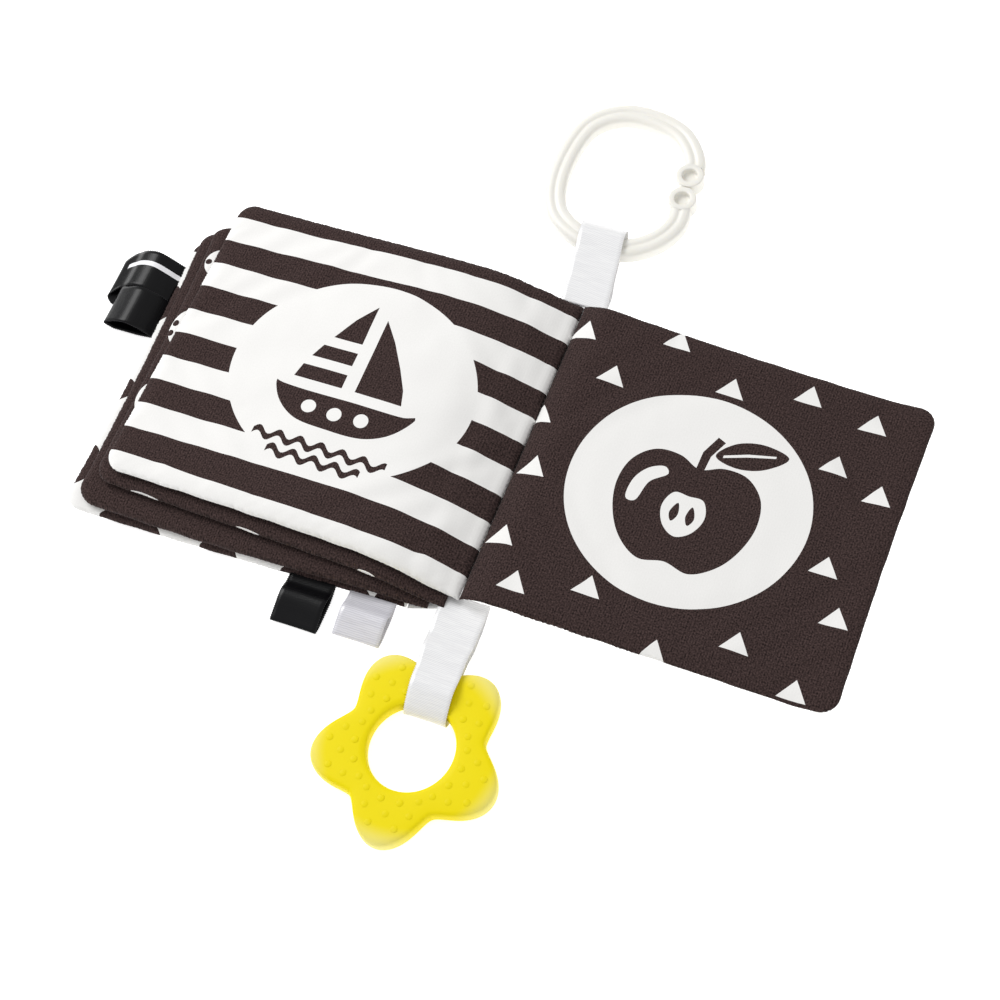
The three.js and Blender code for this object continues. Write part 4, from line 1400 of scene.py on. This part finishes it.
def addClipRibbon():
    r = ribbonSettings
    tail = headSeam + r["gap"]
    tailZ = book["backRoot"][1] - book["seamThickness"] / 4
    slack = ring["barWidth"] / 2 + r["strapSlack"]
    barY = ring["centre"][1] - ringHalf[1]
    room = {"far": slack + r["foldSlack"], "near": slack, "up": ring["barDepth"] / 2 + 2 * r["gap"]}
    lean = math.tan(math.radians(clipRibbonSettings["lean"]))
    placeX = clipRibbonSettings["place"]
    addRibbon({
        "name": "clipRibbon", "node": "clip_ribbon", "slot": "white_satin",
        "cloth": whiteSatin, "thread": whiteThread,
        "knots": strapKnots((0, tailZ), (barY - tail, ringMiddle), room, (0.5, 0.67)), "wave": 0.2,
        "width": r["strapWidth"], "floor": 0,
        "outward": (0, 1), "place": (placeX, tail, 0),
        "slide": lambda outward, share: -outward * lean - clipRibbonSettings["underLean"] * bulge(share),
        "bend": (("front_cover", "clip_strap"), (placeX, tail, tailZ), (placeX, tail + 7, tailZ)),
        "restsOn": "backCoverPad",
    })


teetherSettings = {
    "lobes": 5, "tip": 39.8, "valley": 29.0, "hole": 17.4, "thickness": 7.0, "fullness": 0.85,
    "centre": (18.5, -130.7), "stretch": (0.98, 1.03), "turn": -15.2, "bed": 1.5,
    "steps": 300, "section": 36, "edgeRound": 2.3,
    "flank": 2 / 3, "flatShare": 2.2,  # how square the bar's section is, and how soon its flat is full
    "ribbonOffset": 0.7, "ribbonLean": 3.7, "tailTuck": 7.0, "underLean": 2.0,
    "bumpRadius": 1.5, "bumpHeight": 0.29, "bumpSink": 0.12,
    "bumpRows": [  # each row's reach as a share of the tip's, and its bumps' angles in the lobe
        (0.563, (-29, -10, 10, 29)), (0.69, (-19.5, 0, 19.5)), (0.815, (-9.5, 9.5)),
    ],
}
star = teetherSettings
starMiddle = star["bed"] + star["thickness"] / 2


def starRadius(angle):
    wave = (1 + np.cos(star["lobes"] * angle)) / 2
    return star["valley"] + (star["tip"] - star["valley"]) * wave ** star["fullness"]


def addTeetherRibbon():
    r = ribbonSettings
    tail = footSeam - r["gap"]
    tailZ = book["backRoot"][1] - 2 * book["seamThickness"]
    barWidth = (star["valley"] - star["hole"]) * star["stretch"][1]
    barY = star["centre"][1] + star["hole"] * star["stretch"][1] + barWidth / 2
    span = r["strapWidth"] / 2 + star["ribbonOffset"]
    holeCurve = star["hole"] - math.sqrt(star["hole"] ** 2 - span**2)
    besideLobe = math.pi / star["lobes"] - math.asin(span / star["valley"])
    lobeReach = float(starRadius(besideLobe)) - star["valley"]
    room = {
        "far": barWidth / 2 + holeCurve + r["strapSlack"] / 5 + 2 * r["gap"],
        "near": barWidth / 2 + lobeReach,
        "up": star["thickness"] / 2 + 4 * r["gap"],
    }
    lean = math.tan(math.radians(star["ribbonLean"]))
    placeX = star["centre"][0] - star["ribbonOffset"]
    addRibbon({
        "name": "teetherRibbon", "node": "teether_ribbon", "slot": "white_satin",
        "cloth": whiteSatin, "thread": whiteThread,
        "knots": strapKnots((-star["tailTuck"], tailZ), (tail - barY, starMiddle), room, (0.55, 0.42)),
        "narrowing": 0.12, "wave": 0.55, "width": r["strapWidth"], "floor": 0,
        "outward": (0, -1), "place": (placeX, tail, 0),
        "slide": lambda outward, share: (tail - barY - outward) * lean + star["underLean"] * bulge(share),
        "bend": (("front_cover", "teether_strap"), (placeX, tail, tailZ), (placeX, tail - 7, tailZ)),
        "restsOn": "spineCloth",
    })


edgeTag = {
    "width": 18.6, "height": 9.9, "slide": 0.0, "floor": 0.0, "slot": "black_satin", "thread": blackThread,
    "profile": [(0.22, 0.72), (0.5, 1.0), (0.8, 0.72), (0.987, 0.33)],  # the upper layer's reach and height
    "underShares": (0.82, 0.35),  # where the lower layer lies down and where it rises to the seam
}
footTag = {
    **edgeTag, "width": 20.0, "height": 5.2, "profile": [(0.2, 0.6), (0.45, 1.0), (0.8, 0.62), (0.987, 0.3)],
}
tagSettings = [
    {
        **edgeTag, "name": "plainEdgeTag", "node": "plain_edge_tag", "cloth": blackSatin,
        "middle": 17.4, "reach": 23.2, "floor": 0.9,
    },
    {
        **edgeTag, "name": "stripedEdgeTag", "node": "striped_edge_tag", "cloth": stripedSatin,
        "middle": 35.8, "reach": 28.4, "slide": 7.0, "height": 9.2,
        "profile": [(0.19, 0.72), (0.42, 1.0), (0.64, 0.84), (0.79, 0.5), (0.985, 0.2)],
    },
    {
        **footTag, "name": "blackFootTag", "node": "black_foot_tag", "cloth": blackSatin,
        "middle": -48.2, "reach": 22.3,
    },
    {
        **footTag, "name": "greyFootTag", "node": "grey_foot_tag", "slot": "grey_satin",
        "cloth": greySatin, "thread": greyThread, "middle": -21.8, "reach": 19.7,
    },
]
slideShares = (0.42, 0.58, 0.68, 0.86)  # along a loop: its slide starts, is full, starts back and ends


def tagKnots(tag, floor):  # floor is under the height of its seam
    r = ribbonSettings
    low = floor + r["thickness"] / 2
    high = low + tag["height"] - tag["floor"] - r["thickness"]
    split, reach = r["thickness"] / 2 + r["gap"] / 2, tag["reach"]
    upper = [(reach * out, low + (high - low) * up) for out, up in tag["profile"]]
    return [(0, split)] + upper + [(reach * share, low) for share in tag["underShares"]] + [(0, -split)]


def tagSlide(tag):
    start, full, hold, end = slideShares
    sway = 0.8 if tag["slide"] else 0.0  # the striped loop leans up the page on its crest

    def slide(outward, share):
        moved = float(ease((share - hold) / (end - hold))) - float(ease((share - start) / (full - start)))
        return tag["slide"] * moved + sway * math.sin(math.pi * min(2 * share, 1)) ** 2

    return slide


def addTags():
    for tag in tagSettings:
        low, high = [[c / millimetre for c in corner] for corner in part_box(tag["node"])]
        if tag["width"] == edgeTag["width"]:
            seamZ = float(stackMiddle(0, stackLeaves[0]["root"][0] - stackLeaves[0]["width"]))
            place, outward = (high[0], tag["middle"], seamZ), (-1, 0)
        else:
            seamZ = float(stackMiddle(0, tag["middle"]))
            place, outward = (tag["middle"], high[1], seamZ), (0, -1)
        floor = tag["floor"] - seamZ
        addRibbon({**tag, "knots": tagKnots(tag, floor), "floor": floor, "outward": outward, "place": place,
                   "slide": tagSlide(tag), "restsOn": "frontCoverPad"})


addClipRibbon()
addTeetherRibbon()
addTags()
print("stage: ribbons and tags made")


# Clip ring

def ringSection(steps=6):  # across the bar, from the groove round to the groove: (up, side) places
    w, d, g, r = ring["barWidth"] / 2, ring["barDepth"] / 2, ring["grooveWidth"] / 2, ring["barWidth"] / 4
    quarter = [(d - ring["grooveDepth"], 0.0), (d - ring["grooveDepth"] * 0.75, g * 0.55), (d - 0.1, g)]
    for t in (k / steps for k in range(1, steps + 1)):
        near, turn, far = (1 - t) ** 2, 2 * t * (1 - t), t * t
        quarter.append((near * d + turn * d + far * (d - r), near * g + turn * w + far * w))
    right = quarter + [(-z, s) for z, s in reversed(quarter)]
    return right + [(z, -s) for z, s in reversed(right)][1:-1]


def addRingBar():
    line = smoothLine([(x * ringHalf[0], y * ringHalf[1]) for x, y in ring["shares"]], ring["steps"])
    trim = ring["bossRadius"] - ring["bossOverlap"]  # the bar ends inside each boss's wall
    run = runLengths(line)
    inside = np.linspace(trim, run[-1] - trim, ring["steps"])
    line = np.stack([np.interp(inside, run, line[:, k]) for k in (0, 1)], axis=1)
    section = ringSection()
    points = []
    for place, ahead in zip(line, headings(line)):
        for up, side in section:
            x = ring["centre"][0] + place[0] - ahead[1] * side
            y = ring["centre"][1] + place[1] + ahead[0] * side
            points.append((x, y, ringMiddle + up))
    return addBar("ringBarPart", points, len(section), ringPlastic)


def bossProfile():  # (radius, height), from the upper well out and down to the lower well
    outer, hole, top, lip = ring["bossRadius"], ring["bossHole"], ring["barDepth"] / 2, 0.5
    low = top - ring["bossDepth"]
    upper = [
        (hole * 0.7, low), (hole - 0.3, low + 0.08), (hole - 0.05, low + 0.35), (hole, low + 0.8),
        (hole + 0.02, top - lip), (hole + 0.18, top - 0.12), (hole + 0.5, top),
        (outer - lip, top), (outer - 0.14, top - 0.14), (outer, top - lip), (outer, top - 1.6),
    ]
    return upper + [(radius, -z) for radius, z in reversed(upper)]


def addBoss(centre, other, steps=40):
    apart = np.linalg.norm(other - centre)
    away = (other - centre) / apart
    limit = apart / 2 - ring["bossGap"] / 2  # the two bosses are flattened where they face each other
    points = []
    for radius, z in bossProfile():
        for k in range(steps):
            t = 2 * math.pi * k / steps
            place = np.array([radius * math.cos(t), radius * math.sin(t)])
            x, y = centre + place - away * max(place @ away - limit, 0)
            points.append((x, y, ringMiddle + z))
    return addBar("ringBossPart", points, steps, ringPlastic)


def addClipRing():
    first, last = [np.array(ring["centre"]) + np.array(ring["shares"][k]) * ringHalf for k in (0, -1)]
    piece = joinedPiece("clipRing", [addRingBar(), addBoss(first, last), addBoss(last, first)])
    piece.data.set_sharp_from_angle(angle=math.radians(ring["sharpAngle"]))
    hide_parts("clip_ring")
    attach(piece, "clip")


addClipRing()
print("stage: clip ring made")


# Star teether

def starSection(inner, outer):  # a rounded bar between the hole and the lobe's edge
    middle, edge, power = (inner + outer) / 2, star["edgeRound"], star["flank"]
    reach = (outer - inner) / 2 - edge  # the flat between the two rounded edges
    places = []
    for k in range(star["section"]):
        t = 2 * math.pi * k / star["section"]
        c, s = math.cos(t), math.sin(t)
        z = star["thickness"] / 2 * math.copysign(abs(s) ** power, s)
        flat = math.copysign(reach, c) * min(1, abs(c) * star["flatShare"])
        places.append((middle + flat + edge * math.copysign(abs(c) ** power, c), z))
    return places


def starPlace(radius, turned):
    spans = zip(star["centre"], star["stretch"], (math.cos(turned), math.sin(turned)))
    return [middle + radius * stretch * share for middle, stretch, share in spans]


def addTeether():
    points = []
    for k in range(star["steps"]):
        angle = 2 * math.pi * k / star["steps"]
        turned = angle + math.radians(star["turn"])
        for radius, z in starSection(star["hole"], float(starRadius(angle))):
            points.append((*starPlace(radius, turned), starMiddle + z))
    body = addBar("teetherBodyPart", points, star["section"], teetherSilicone, closed=True)
    piece = joinedPiece("starTeether", [body, addBumps()])
    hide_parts("teether")
    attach(piece, "star")


# Gum bumps: low domes set on points, on both faces
def bumpTree():
    tree, start, end = geometryTree("gumBumps", [
        ("Bump Radius", "NodeSocketFloat"), ("Bump Height", "NodeSocketFloat"),
        ("Material", "NodeSocketMaterial"),
    ])
    dome = addNode(tree, "GeometryNodeMeshUVSphere", {"Segments": 18, "Rings": 10, "Radius": 1.0})
    size = addNode(tree, "ShaderNodeCombineXYZ", {
        "X": start.outputs["Bump Radius"], "Y": start.outputs["Bump Radius"],
        "Z": start.outputs["Bump Height"],
    })
    low = addNode(tree, "GeometryNodeTransform", {
        "Geometry": dome.outputs["Mesh"], "Scale": size.outputs["Vector"],
    })
    many = addNode(tree, "GeometryNodeInstanceOnPoints", {
        "Points": start.outputs["Geometry"], "Instance": low.outputs["Geometry"],
    })
    real = addNode(tree, "GeometryNodeRealizeInstances", {"Geometry": many.outputs["Instances"]})
    dressed = addNode(tree, "GeometryNodeSetMaterial", {
        "Geometry": real.outputs["Geometry"], "Material": start.outputs["Material"],
    })
    feed(tree, end, {"Geometry": dressed.outputs["Geometry"]})
    return tree


def addBumps():
    places = []
    for lobe in range(star["lobes"]):
        for share, turns in star["bumpRows"]:
            for turn in turns:
                angle = 2 * math.pi * lobe / star["lobes"] + math.radians(turn + star["turn"])
                height = star["thickness"] / 2 - star["bumpSink"]
                for z in (starMiddle + height, starMiddle - height):
                    places.append((*starPlace(share * star["tip"], angle), z))
    mesh = bpy.data.meshes.new("bumpPoints")
    mesh.from_pydata((np.array(places) * millimetre).tolist(), [], [])
    carrier = bpy.data.objects.new("bumpPoints", mesh)
    scene.collection.objects.link(carrier)
    values = {
        "Bump Radius": star["bumpRadius"] * millimetre,
        "Bump Height": star["bumpHeight"] * millimetre,
        "Material": teetherSilicone,
    }
    return bakedPiece(carrier, bumpTree(), values, "bumpPart")


addTeether()
print("stage: teether made")
